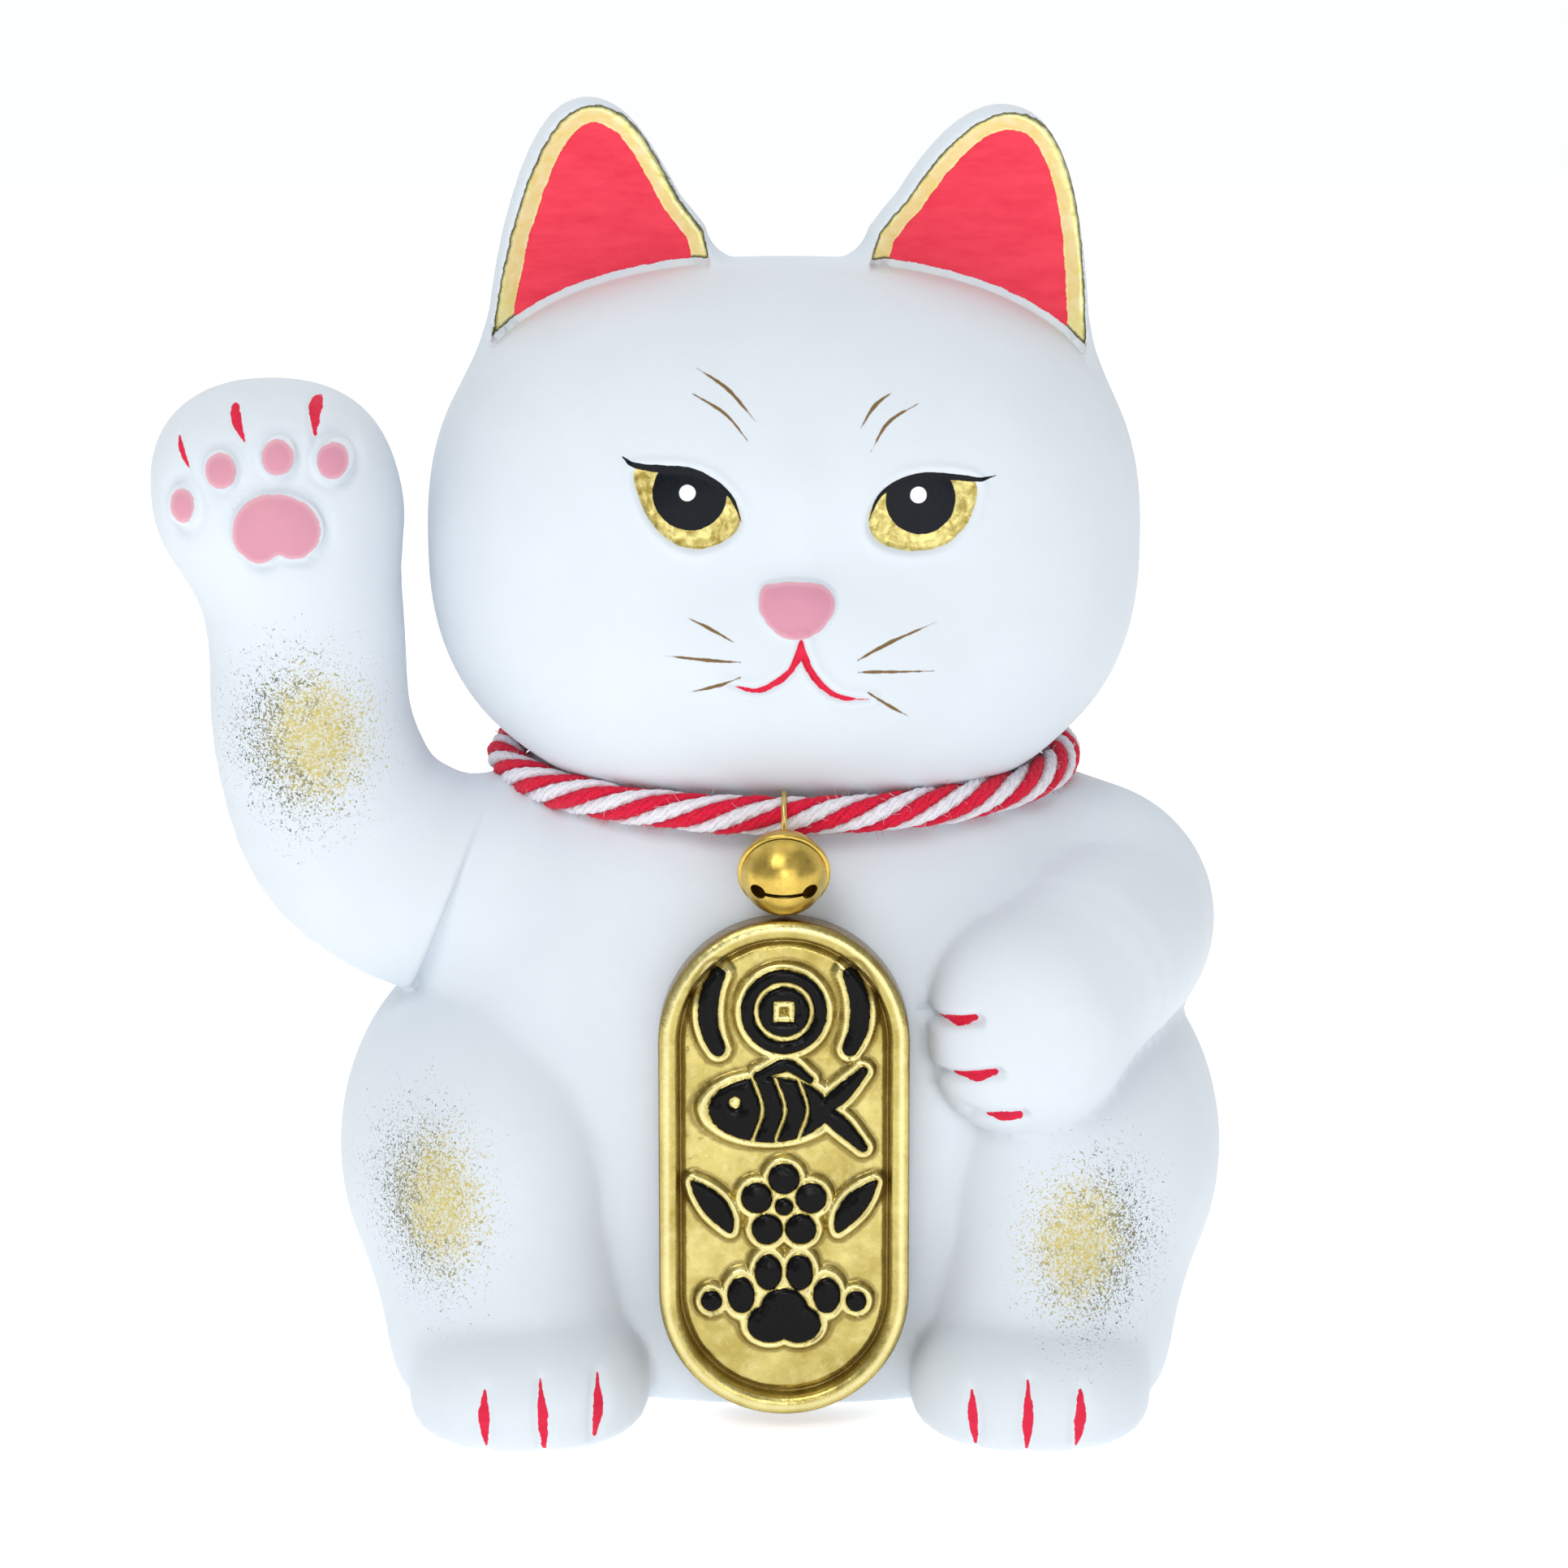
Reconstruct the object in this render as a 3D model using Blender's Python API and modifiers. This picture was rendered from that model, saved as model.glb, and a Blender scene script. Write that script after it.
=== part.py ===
"""Beckoning cat figurine: a hollow ceramic casting with a luted arm, a gold plaque, a neck cord and
a bell. Metres, +Z up. The cat faces -Y, and its raised arm is at -X. The origin is on the ground."""

import math

import bmesh
import bpy
from mathutils import Matrix, Vector

MM = 0.001
GAP = 0.3 * MM
WALL = 4.5 * MM
SMOOTH_BELOW = math.radians(35)
MERGE_DISTANCE = 0.01 * MM
HALF_SPACE_SIDE = 400 * MM

# Head and ears
HEAD_CENTRE = Vector((0, 0, 185 * MM))
HEAD_RADII = Vector((79.5 * MM, 62 * MM, 60.5 * MM))
HEAD_POWER = 2.5
EAR_BASE_RADIUS = 12 * MM
EAR_TIP_RADIUS = 11 * MM
EARS = (
    # outer foot, inner foot, tip
    ((-56 * MM, 224 * MM), (-27 * MM, 238 * MM), (-43.5 * MM, 272 * MM)),
    ((57.5 * MM, 224 * MM), (29 * MM, 238 * MM), (48 * MM, 270.5 * MM)),
)

# Trunk, thighs and feet
TRUNK_CENTRE = Vector((0, 2 * MM, 64 * MM))
TRUNK_RADII = Vector((86 * MM, 71 * MM, 84 * MM))
TRUNK_POWER = 2.4
BELLY_CENTRE = Vector((0, -22 * MM, 40 * MM))
BELLY_RADII = Vector((56 * MM, 46.5 * MM, 75 * MM))
BELLY_POWER = 2.6
TAIL_CENTRE = Vector((0, 66 * MM, 22 * MM))
TAIL_RADII = Vector((15 * MM, 15 * MM, 13 * MM))
THIGH_CENTRE = Vector((61 * MM, -12 * MM, 47 * MM))
THIGH_RADII = Vector((39 * MM, 60 * MM, 50 * MM))
SHIN_CENTRE = Vector((59 * MM, -36 * MM, 14 * MM))
SHIN_RADII = Vector((30 * MM, 42 * MM, 38 * MM))
FOOT_CENTRE = Vector((56.5 * MM, -60 * MM, 8 * MM))
FOOT_RADII = Vector((28 * MM, 33 * MM, 18 * MM))

# Arms, each as balls that one skin joins: centre, radius
RESTING_ARM = (
    ((66 * MM, -4 * MM, 103 * MM), 31 * MM),
    ((72.5 * MM, -30 * MM, 92 * MM), 24 * MM),
    ((52 * MM, -58 * MM, 89 * MM), 22 * MM),
)
RAISED_ARM = (
    ((-72 * MM, -16 * MM, 110 * MM), 23.5 * MM),
    ((-99 * MM, -18 * MM, 118 * MM), 24.5 * MM),
    ((-105 * MM, -19 * MM, 150 * MM), 21.5 * MM),
    ((-106 * MM, -20 * MM, 178 * MM), 22.5 * MM),
    ((-111.5 * MM, -21 * MM, 196 * MM), 27.5 * MM),
)
ARM_CORE_RADIUS = 17 * MM
SHOULDER_BALL = ((-60 * MM, -16 * MM, 104 * MM), 27 * MM)

# The flat seat that the raised arm is luted to, and the vent through it
SEAT_POINT = Vector((-76 * MM, -16 * MM, 109 * MM))
SEAT_NORMAL = Vector((-0.911, 0, 0.412)).normalized()
SEAT_CUT_RADIUS = 27 * MM
SEAT_CUT_HEIGHT = 60 * MM
SEAT_VENT_RADIUS = 6 * MM
SEAT_VENT_DEPTH = 30 * MM
SEAT_VENT_RISE = 5 * MM

# Base
DRAIN_HOLE_RADIUS = 11 * MM
DRAIN_HOLE_Y = 24 * MM
BASE_THICKNESS = 6 * MM

# Plaque: an upright oval that leans back on the belly, against a flat land
PLAQUE_HALF_WIDTH = 27 * MM
PLAQUE_HEIGHT = 109 * MM
PLAQUE_THICKNESS = 9.5 * MM
PLAQUE_BOTTOM = Vector((0, -77 * MM, 3.5 * MM))
PLAQUE_LEAN = math.radians(3.5)
PLAQUE_EDGE_ROUNDING = 1.5 * MM
PLAQUE_RIM_WIDTH = 4 * MM
PLAQUE_FIELD_DEPTH = 1.6 * MM
PLAQUE_LAND_INSET = 5 * MM
PLAQUE_LAND_DEPTH = 25 * MM
EMBLEM_COUNT = 4
EMBLEM_RADIUS = 9 * MM
EMBLEM_HEIGHT = 1.1 * MM

# Neck cord: an oval ring that dips to the front, open behind where the knot closes it
CORD_RADIUS = 4 * MM
CORD_HALF_WIDTH = 63 * MM
CORD_FRONT = Vector((0, -53 * MM, 131.3 * MM))
CORD_BACK = Vector((0, 54 * MM, 137 * MM))
CORD_POINTS = 60
KNOT_RADII = Vector((9 * MM, 7 * MM, 7.5 * MM))
KNOT_TAIL_LENGTH = 26 * MM
KNOT_TAIL_SPREAD = math.radians(22)
KNOT_TAIL_OUTWARD = math.radians(30)

# Wire ring round the cord, and the space that it swings in
RING_RADIUS = 5.3 * MM
RING_WIRE_RADIUS = 0.6 * MM
RING_CENTRE = CORD_FRONT + Vector((0, -0.3 * MM, -0.4 * MM))
RING_SPACE_RADIUS = 6.6 * MM
RING_SPACE_HALF_WIDTH = 1.8 * MM
RING_EYE_ANGLE = math.radians(64)

# Bell, along its own axis: the eye is at +Z and the slot at -Z
BELL_RADIUS = 9.2 * MM
BELL_WALL = 0.6 * MM
BELL_BEAD_RADIUS = 0.75 * MM
BELL_EYE_HOLE = 0.9 * MM
BELL_SLOT_WIDTH = 1.8 * MM
BELL_SLOT_HALF_LENGTH = 5.5 * MM
BELL_SLOT_END_RADIUS = 1.6 * MM
BELL_SLOT_HEIGHT = 10 * MM
BELL_AXIS_BELOW_LEVEL = math.radians(20)
PELLET_RADIUS = 2.2 * MM
EYE_RADIUS = 2 * MM
EYE_WIRE_RADIUS = 0.45 * MM
EYE_HEAD_RADIUS = 1.6 * MM
EYE_HEAD_THICKNESS = 0.6 * MM
EYE_HEAD_GAP = 0.5 * MM
BELL_CENTRE_DROP = EYE_RADIUS + EYE_WIRE_RADIUS + GAP + BELL_RADIUS

# Skins: the voxel of a fused form, its smoothing, and the share of faces kept
BODY_SKIN = (4 * MM, 4, 0.12)
CORE_SKIN = (6 * MM, 2, 0.14)
ARM_SKIN = (3 * MM, 4, 0.15)

# Steps round the small turned pieces
TURN_STEPS = 28
SHELL_ARC_STEPS = 7
BEAD_ARC_STEPS = 4
WIRE_STEPS = 32
WIRE_SIDES = 10

COLOURS = {
    # colour, roughness, metallic
    "glaze_white": ((0.82, 0.84, 0.86), 0.45, 0.0),
    "plaque_gold": ((0.60, 0.45, 0.12), 0.35, 0.9),
    "cord_red": ((0.72, 0.03, 0.06), 0.8, 0.0),
    "bell_brass": ((0.76, 0.58, 0.22), 0.25, 1.0),
    "wire_brass": ((0.70, 0.55, 0.25), 0.3, 1.0),
    "pellet_steel": ((0.55, 0.56, 0.58), 0.3, 1.0),
}


# Scene, materials and objects


def clear_scene():
    for obj in list(bpy.data.objects):
        bpy.data.objects.remove(obj, do_unlink=True)


def new_collection(name):
    collection = bpy.data.collections.new(name)
    bpy.context.scene.collection.children.link(collection)
    return collection


def new_material(name):
    colour, roughness, metallic = COLOURS[name]
    material = bpy.data.materials.new(name)
    material.use_nodes = True
    shader = material.node_tree.nodes["Principled BSDF"]
    shader.inputs["Base Color"].default_value = (*colour, 1)
    shader.inputs["Roughness"].default_value = roughness
    shader.inputs["Metallic"].default_value = metallic
    return material


def object_from(bm, name, collection):
    mesh = bpy.data.meshes.new(name)
    bmesh.ops.recalc_face_normals(bm, faces=bm.faces)
    bm.to_mesh(mesh)
    bm.free()
    obj = bpy.data.objects.new(name, mesh)
    collection.objects.link(obj)
    return obj


def part(obj, material):
    """Gives a finished piece its material and shades its round faces smooth."""
    obj.data.materials.append(new_material(material))
    obj.data.shade_smooth()
    obj.data.set_sharp_from_angle(angle=SMOOTH_BELOW)


def cutter(obj):
    obj.hide_render = True
    obj.display_type = "WIRE"
    return obj


def boolean(obj, tool, operation):
    modifier = obj.modifiers.new(f"{operation.lower()}_{tool.name}", "BOOLEAN")
    modifier.operation = operation
    modifier.solver = "EXACT"
    modifier.object = tool


# Shapes


def turned_to(direction):
    """The matrix that turns +Z to a direction."""
    return direction.to_track_quat("Z", "Y").to_matrix().to_4x4()


def add_ball(bm, centre, radii, power=2.0, detail=4):
    """A superellipsoid: power 2 is an ellipsoid, and a higher one is squarer."""
    made = bmesh.ops.create_icosphere(bm, subdivisions=detail, radius=1)
    for vert in made["verts"]:
        size = sum(abs(c) ** power for c in vert.co) ** (1 / power)
        vert.co = Vector(c / size * r for c, r in zip(vert.co, radii)) + Vector(centre)


def add_hull(bm, balls):
    """The convex skin round some balls, each (centre, radius)."""
    hull = bmesh.new()
    for centre, radius in balls:
        place = Matrix.Translation(centre)
        bmesh.ops.create_icosphere(hull, subdivisions=3, radius=radius, matrix=place)
    bmesh.ops.delete(hull, geom=hull.faces[:], context="FACES_ONLY")
    bmesh.ops.delete(hull, geom=hull.edges[:], context="EDGES_FACES")
    made = bmesh.ops.convex_hull(hull, input=hull.verts[:])
    spare = [e for e in made["geom_interior"] if isinstance(e, bmesh.types.BMVert)]
    bmesh.ops.delete(hull, geom=spare, context="VERTS")
    mesh = bpy.data.meshes.new("hull")
    hull.to_mesh(mesh)
    hull.free()
    bm.from_mesh(mesh)
    bpy.data.meshes.remove(mesh)


def add_limb(bm, balls):
    for pair in zip(balls, balls[1:]):
        add_hull(bm, pair)


def fuse(obj, skin):
    """One smooth skin round the overlapping closed forms of a mesh."""
    voxel, smoothing, kept_share = skin
    remesh = obj.modifiers.new("fuse", "REMESH")
    remesh.mode = "VOXEL"
    remesh.voxel_size = voxel
    smooth = obj.modifiers.new("soften", "SMOOTH")
    smooth.factor = 0.5
    smooth.iterations = smoothing
    thin = obj.modifiers.new("thin", "DECIMATE")
    thin.ratio = kept_share


def mesh_of_curve(curve_obj, collection, name):
    """A curve object as a closed mesh object, at the same place."""
    bpy.context.view_layer.update()
    evaluated = curve_obj.evaluated_get(bpy.context.evaluated_depsgraph_get())
    mesh = bpy.data.meshes.new_from_object(evaluated)
    bm = bmesh.new()
    bm.from_mesh(mesh)
    bmesh.ops.remove_doubles(bm, verts=bm.verts, dist=MERGE_DISTANCE)
    obj = object_from(bm, name, collection)
    obj.matrix_world = curve_obj.matrix_world
    bpy.data.objects.remove(curve_obj)
    return obj


def poly_curve(name, points, collection, closed):
    curve = bpy.data.curves.new(name, "CURVE")
    spline = curve.splines.new("POLY")
    spline.use_cyclic_u = closed
    spline.points.add(len(points) - 1)
    for point, place in zip(spline.points, points):
        point.co = (*place, 1)
    obj = bpy.data.objects.new(name + "_curve", curve)
    collection.objects.link(obj)
    return obj


def tube(name, points, radius, collection, closed=False):
    obj = poly_curve(name, points, collection, closed)
    obj.data.dimensions = "3D"
    obj.data.bevel_depth = radius
    obj.data.bevel_resolution = 2
    obj.data.use_fill_caps = True
    return mesh_of_curve(obj, collection, name)


def rod(name, start, end, radius, collection, sides=32):
    bm = bmesh.new()
    along = Vector(end) - Vector(start)
    place = Matrix.Translation((Vector(start) + Vector(end)) / 2) @ turned_to(along)
    bmesh.ops.create_cone(
        bm, cap_ends=True, segments=sides, radius1=radius, radius2=radius,
        depth=along.length, matrix=place,
    )
    return object_from(bm, name, collection)


def half_space(name, point, normal, collection):
    """A large box on the far side of a plane, to cut with."""
    bm = bmesh.new()
    beyond = Matrix.Translation((0, 0, HALF_SPACE_SIDE / 2))
    place = Matrix.Translation(point) @ turned_to(normal) @ beyond
    bmesh.ops.create_cube(bm, size=HALF_SPACE_SIDE, matrix=place)
    return cutter(object_from(bm, name, collection))


def wire_ring(name, radius, wire, turn, collection):
    bpy.ops.mesh.primitive_torus_add(
        major_radius=radius, minor_radius=wire,
        major_segments=WIRE_STEPS, minor_segments=WIRE_SIDES,
    )
    obj = bpy.context.active_object
    obj.name = name
    obj.data.transform(turn)
    for home in obj.users_collection:
        home.objects.unlink(obj)
    collection.objects.link(obj)
    return obj


def arc(radius, start, end, steps, centre_x=0):
    """Points of an arc in the XZ plane, with its angle measured up from +X."""
    angles = [start + (end - start) * step / steps for step in range(steps + 1)]
    return [(centre_x + radius * math.cos(a), radius * math.sin(a)) for a in angles]


def turned(name, profile, closed, collection):
    """A solid turned about Z from a profile in the XZ plane, whose outer side runs downwards."""
    bm = bmesh.new()
    verts = [bm.verts.new((x, 0, z)) for x, z in profile]
    ends = verts[1:] + verts[:1] if closed else verts[1:]
    for a, b in zip(verts, ends):
        bm.edges.new((a, b))
    mesh = bpy.data.meshes.new(name)
    bm.to_mesh(mesh)
    bm.free()
    obj = bpy.data.objects.new(name, mesh)
    collection.objects.link(obj)
    screw = obj.modifiers.new("turn", "SCREW")
    screw.steps = TURN_STEPS
    screw.render_steps = TURN_STEPS
    screw.use_merge_vertices = True
    screw.merge_threshold = MERGE_DISTANCE
    return obj


# Body and arm castings


def shrunk(radii, wall):
    return Vector(r - wall for r in radii)


def mirrored(centre, side):
    return Vector((centre.x * side, centre.y, centre.z))


def body_forms():
    """The forms that show outside."""
    bm = bmesh.new()
    add_ball(bm, HEAD_CENTRE, HEAD_RADII, HEAD_POWER)
    add_ball(bm, TRUNK_CENTRE, TRUNK_RADII, TRUNK_POWER)
    add_ball(bm, BELLY_CENTRE, BELLY_RADII, BELLY_POWER)
    add_ball(bm, TAIL_CENTRE, TAIL_RADII)
    for side in (-1, 1):
        add_ball(bm, mirrored(THIGH_CENTRE, side), THIGH_RADII)
        add_ball(bm, mirrored(SHIN_CENTRE, side), SHIN_RADII)
        add_ball(bm, mirrored(FOOT_CENTRE, side), FOOT_RADII)
    for outer, inner, tip in EARS:
        feet = [((x, 0, z), EAR_BASE_RADIUS) for x, z in (outer, inner)]
        add_hull(bm, feet + [((tip[0], 0, tip[1]), EAR_TIP_RADIUS)])
    add_limb(bm, RESTING_ARM)
    add_hull(bm, (SHOULDER_BALL,))
    return bm


def core_forms():
    """The hollow inside the casting, which its wall surrounds."""
    bm = bmesh.new()
    add_ball(bm, HEAD_CENTRE, shrunk(HEAD_RADII, WALL), HEAD_POWER)
    add_ball(bm, TRUNK_CENTRE, shrunk(TRUNK_RADII, WALL), TRUNK_POWER)
    add_limb(bm, [(centre, radius - 2 * WALL) for centre, radius in RESTING_ARM])
    for side in (-1, 1):
        add_ball(bm, mirrored(THIGH_CENTRE, side), shrunk(THIGH_RADII, 2 * WALL))
    return bm


def seat_rod(name, start, end, radius, collection):
    """A cutter along the shoulder seat's normal, between two heights over the seat."""
    ends = [SEAT_POINT + SEAT_NORMAL * height for height in (start, end)]
    return cutter(rod(name, *ends, radius, collection))


def make_core(cutters):
    core = cutter(object_from(core_forms(), "core", cutters))
    fuse(core, CORE_SKIN)
    floor = half_space("floor", Vector((0, 0, BASE_THICKNESS)), Vector((0, 0, -1)), cutters)
    seat = seat_rod("core_seat", -WALL, SEAT_CUT_HEIGHT, SEAT_CUT_RADIUS + WALL, cutters)
    boolean(core, floor, "DIFFERENCE")
    boolean(core, seat, "DIFFERENCE")
    return core


def make_body(parts, cutters, cord_space):
    back = PLAQUE_THICKNESS + GAP
    land = cutter(plaque_slab("land", PLAQUE_LAND_INSET, PLAQUE_LAND_DEPTH, back, cutters))
    plaque_space = plaque_slab("plaque_space", -GAP, back, -PLAQUE_THICKNESS, cutters)
    drain_ends = [(0, DRAIN_HOLE_Y, side * 2 * BASE_THICKNESS) for side in (-1, 1)]
    half_width = Vector((RING_SPACE_HALF_WIDTH, 0, 0))
    ring_ends = (RING_CENTRE - half_width, RING_CENTRE + half_width)
    spaces = (
        make_core(cutters),
        half_space("ground", Vector((0, 0, 0)), Vector((0, 0, -1)), cutters),
        seat_rod("seat", 0, SEAT_CUT_HEIGHT, SEAT_CUT_RADIUS, cutters),
        seat_rod("vent", -SEAT_VENT_DEPTH, SEAT_VENT_RISE, SEAT_VENT_RADIUS, cutters),
        cord_space,
        cutter(plaque_space),
        cutter(rod("drain", *drain_ends, DRAIN_HOLE_RADIUS, cutters)),
        cutter(rod("ring_space", *ring_ends, RING_SPACE_RADIUS, cutters)),
    )
    body = object_from(body_forms(), "body_casting", parts)
    fuse(body, BODY_SKIN)
    boolean(body, land, "UNION")
    for space in spaces:
        boolean(body, space, "DIFFERENCE")
    part(body, "glaze_white")


def make_raised_arm(parts, cutters):
    bm = bmesh.new()
    add_limb(bm, RAISED_ARM)
    arm = object_from(bm, "raised_arm", parts)
    fuse(arm, ARM_SKIN)
    bm = bmesh.new()
    add_limb(bm, [(centre, ARM_CORE_RADIUS) for centre, _ in RAISED_ARM])
    core = cutter(object_from(bm, "arm_core", cutters))
    fuse(core, ARM_SKIN)
    over_seat = SEAT_POINT + SEAT_NORMAL * GAP
    boolean(arm, core, "DIFFERENCE")
    boolean(arm, half_space("arm_seat", over_seat, -SEAT_NORMAL, cutters), "DIFFERENCE")
    part(arm, "glaze_white")


# Plaque


def plaque_frame():
    """The plaque's own frame: its origin is the front of the lowest point, and +Y runs into it."""
    return Matrix.Translation(PLAQUE_BOTTOM) @ Matrix.Rotation(-PLAQUE_LEAN, 4, "X")


def oval_points(half_width, height, steps=12):
    """Round ends joined by straight sides, from the bottom of the oval upwards."""
    points = []
    for centre_y, start in ((half_width, math.pi), (height - half_width, 0)):
        for step in range(steps + 1):
            angle = start + math.pi * step / steps
            x, y = half_width * math.cos(angle), half_width * math.sin(angle)
            points.append((x, centre_y + y, 0))
    return points


def plaque_slab(name, inset, back, front, collection):
    """An oval slab between two depths from the plaque's front face, leaning with the plaque."""
    outline = oval_points(PLAQUE_HALF_WIDTH - inset, PLAQUE_HEIGHT - 2 * inset)
    obj = poly_curve(name, outline, collection, closed=True)
    obj.data.dimensions = "2D"
    obj.data.fill_mode = "BOTH"
    obj.data.extrude = (back - front) / 2
    stand = Matrix.Rotation(math.pi / 2, 4, "X")
    place = Matrix.Translation((0, (back + front) / 2, inset))
    obj.matrix_world = plaque_frame() @ place @ stand
    return mesh_of_curve(obj, collection, name)


def make_plaque(parts, cutters):
    plaque = plaque_slab("koban_plaque", 0, PLAQUE_THICKNESS, 0, parts)
    rounding = plaque.modifiers.new("round_edges", "BEVEL")
    rounding.width = PLAQUE_EDGE_ROUNDING
    rounding.segments = 2
    rounding.limit_method = "ANGLE"
    field = plaque_slab(
        "plaque_field", PLAQUE_RIM_WIDTH, PLAQUE_FIELD_DEPTH, -PLAQUE_THICKNESS, cutters
    )
    boolean(plaque, cutter(field), "DIFFERENCE")
    pitch = (PLAQUE_HEIGHT - 2 * PLAQUE_RIM_WIDTH) / EMBLEM_COUNT
    depths = (PLAQUE_FIELD_DEPTH - EMBLEM_HEIGHT, 2 * PLAQUE_FIELD_DEPTH)
    for number in range(EMBLEM_COUNT):
        height = PLAQUE_RIM_WIDTH + pitch * (number + 0.5)
        ends = [plaque_frame() @ Vector((0, depth, height)) for depth in depths]
        emblem = rod(f"emblem_{number}", *ends, EMBLEM_RADIUS, cutters, sides=24)
        boolean(plaque, cutter(emblem), "UNION")
    part(plaque, "plaque_gold")


# Neck cord


def cord_place(angle):
    """A point of the neck cord's centreline: 0 is the front, and pi the knot behind."""
    share = (1 - math.cos(angle)) / 2
    middle = CORD_FRONT.lerp(CORD_BACK, share)
    return Vector((CORD_HALF_WIDTH * math.sin(angle), middle.y, middle.z))


def make_cord(parts):
    knot_angle = math.asin((KNOT_RADII.x + GAP) / CORD_HALF_WIDTH)
    reach = math.pi - knot_angle
    angles = [reach * (2 * step / CORD_POINTS - 1) for step in range(CORD_POINTS + 1)]
    cord = tube("collar_cord", [cord_place(a) for a in angles], CORD_RADIUS, parts)
    part(cord, "cord_red")


def make_cord_space(cutters):
    """The groove that the cord needs in the casting."""
    angles = [2 * math.pi * step / CORD_POINTS for step in range(CORD_POINTS)]
    points = [cord_place(a) for a in angles]
    return cutter(tube("cord_space", points, CORD_RADIUS + GAP, cutters, closed=True))


def make_knot(parts, cutters):
    bm = bmesh.new()
    centre = CORD_BACK + Vector((0, KNOT_RADII.y - CORD_RADIUS, 0))
    add_ball(bm, centre, KNOT_RADII)
    knot = object_from(bm, "collar_knot", parts)
    hang = Vector((0, math.sin(KNOT_TAIL_OUTWARD), -math.cos(KNOT_TAIL_OUTWARD)))
    for side in (-1, 1):
        turn = Matrix.Rotation(side * KNOT_TAIL_SPREAD, 3, "Y")
        end = centre + turn @ hang * (KNOT_TAIL_LENGTH + KNOT_RADII.z)
        tail = rod(f"tail_{side}", centre, end, CORD_RADIUS, cutters, sides=16)
        boolean(knot, cutter(tail), "UNION")
    part(knot, "cord_red")


# Bell


def bell_frame():
    """The bell's own frame: its origin is the eye, and its +Z runs from the bell to the eye."""
    out = Vector((0, -math.cos(RING_EYE_ANGLE), -math.sin(RING_EYE_ANGLE)))
    turn = Matrix.Rotation(BELL_AXIS_BELOW_LEVEL - math.pi / 2, 4, "X")
    return Matrix.Translation(RING_CENTRE + out * RING_RADIUS) @ turn


def make_bell_ring(parts):
    ring = wire_ring(
        "bell_ring", RING_RADIUS, RING_WIRE_RADIUS, Matrix.Rotation(math.pi / 2, 4, "Y"), parts
    )
    ring.location = RING_CENTRE
    part(ring, "wire_brass")


def make_upper_shell(parts):
    """The half with the eye hole, whose rim is a bead."""
    inner = BELL_RADIUS - BELL_WALL
    bead = BELL_BEAD_RADIUS
    hole, inner_hole = [math.acos(BELL_EYE_HOLE / r) for r in (BELL_RADIUS, inner)]
    rim, inner_rim = math.asin(bead / BELL_RADIUS), math.asin(-bead / inner)
    bead_start, bead_end = math.radians(60), math.radians(-90)
    profile = arc(BELL_RADIUS, hole, rim, SHELL_ARC_STEPS)
    profile += arc(bead, bead_start, bead_end, BEAD_ARC_STEPS, centre_x=BELL_RADIUS)
    profile += arc(inner, inner_rim, inner_hole, SHELL_ARC_STEPS)
    return turned("bell_upper_shell", profile, True, parts)


def make_lower_shell(parts, cutters):
    """The half with the sound slot."""
    inner = BELL_RADIUS - BELL_WALL
    lip = BELL_BEAD_RADIUS + GAP
    pole = -math.pi / 2
    profile = arc(inner, pole, math.asin(-lip / inner), SHELL_ARC_STEPS)
    profile += arc(BELL_RADIUS, math.asin(-lip / BELL_RADIUS), pole, SHELL_ARC_STEPS)
    on_axis = [(max(x, 0), z) for x, z in profile]
    shell = turned("bell_lower_shell", on_axis, False, parts)

    bm = bmesh.new()
    size = (2 * BELL_SLOT_HALF_LENGTH, BELL_SLOT_WIDTH, BELL_SLOT_HEIGHT, 1)
    place = Matrix.Translation((0, 0, -BELL_RADIUS)) @ Matrix.Diagonal(size)
    bmesh.ops.create_cube(bm, size=1, matrix=place)
    openings = [object_from(bm, "bell_slot", cutters)]
    for side in (-1, 1):
        x = side * BELL_SLOT_HALF_LENGTH
        ends = [(x, 0, z) for z in (-BELL_RADIUS - BELL_WALL, -BELL_RADIUS / 3)]
        openings.append(rod(f"slot_end_{side}", *ends, BELL_SLOT_END_RADIUS, cutters, sides=20))
    for opening in openings:
        cutter(opening).parent = shell
        boolean(shell, opening, "DIFFERENCE")
    return shell


def make_bell_eye(parts, cutters):
    """A wire loop whose shank runs through the upper shell to a head inside it."""
    eye = wire_ring(
        "bell_eye", EYE_RADIUS, EYE_WIRE_RADIUS, Matrix.Rotation(math.pi / 2, 4, "X"), parts
    )
    under_shell = BELL_RADIUS - BELL_CENTRE_DROP - BELL_WALL
    head_top = under_shell - EYE_HEAD_GAP
    head_bottom = head_top - EYE_HEAD_THICKNESS
    for name, top, bottom, radius in (
        ("eye_shank", -EYE_RADIUS, (head_top + head_bottom) / 2, EYE_WIRE_RADIUS),
        ("eye_head", head_top, head_bottom, EYE_HEAD_RADIUS),
    ):
        tool = cutter(rod(name, (0, 0, top), (0, 0, bottom), radius, cutters, sides=12))
        tool.parent = eye
        boolean(eye, tool, "UNION")
    return eye


def make_pellet(parts):
    bm = bmesh.new()
    add_ball(bm, (0, 0, 0), (PELLET_RADIUS,) * 3, detail=3)
    return object_from(bm, "bell_pellet", parts)


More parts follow.
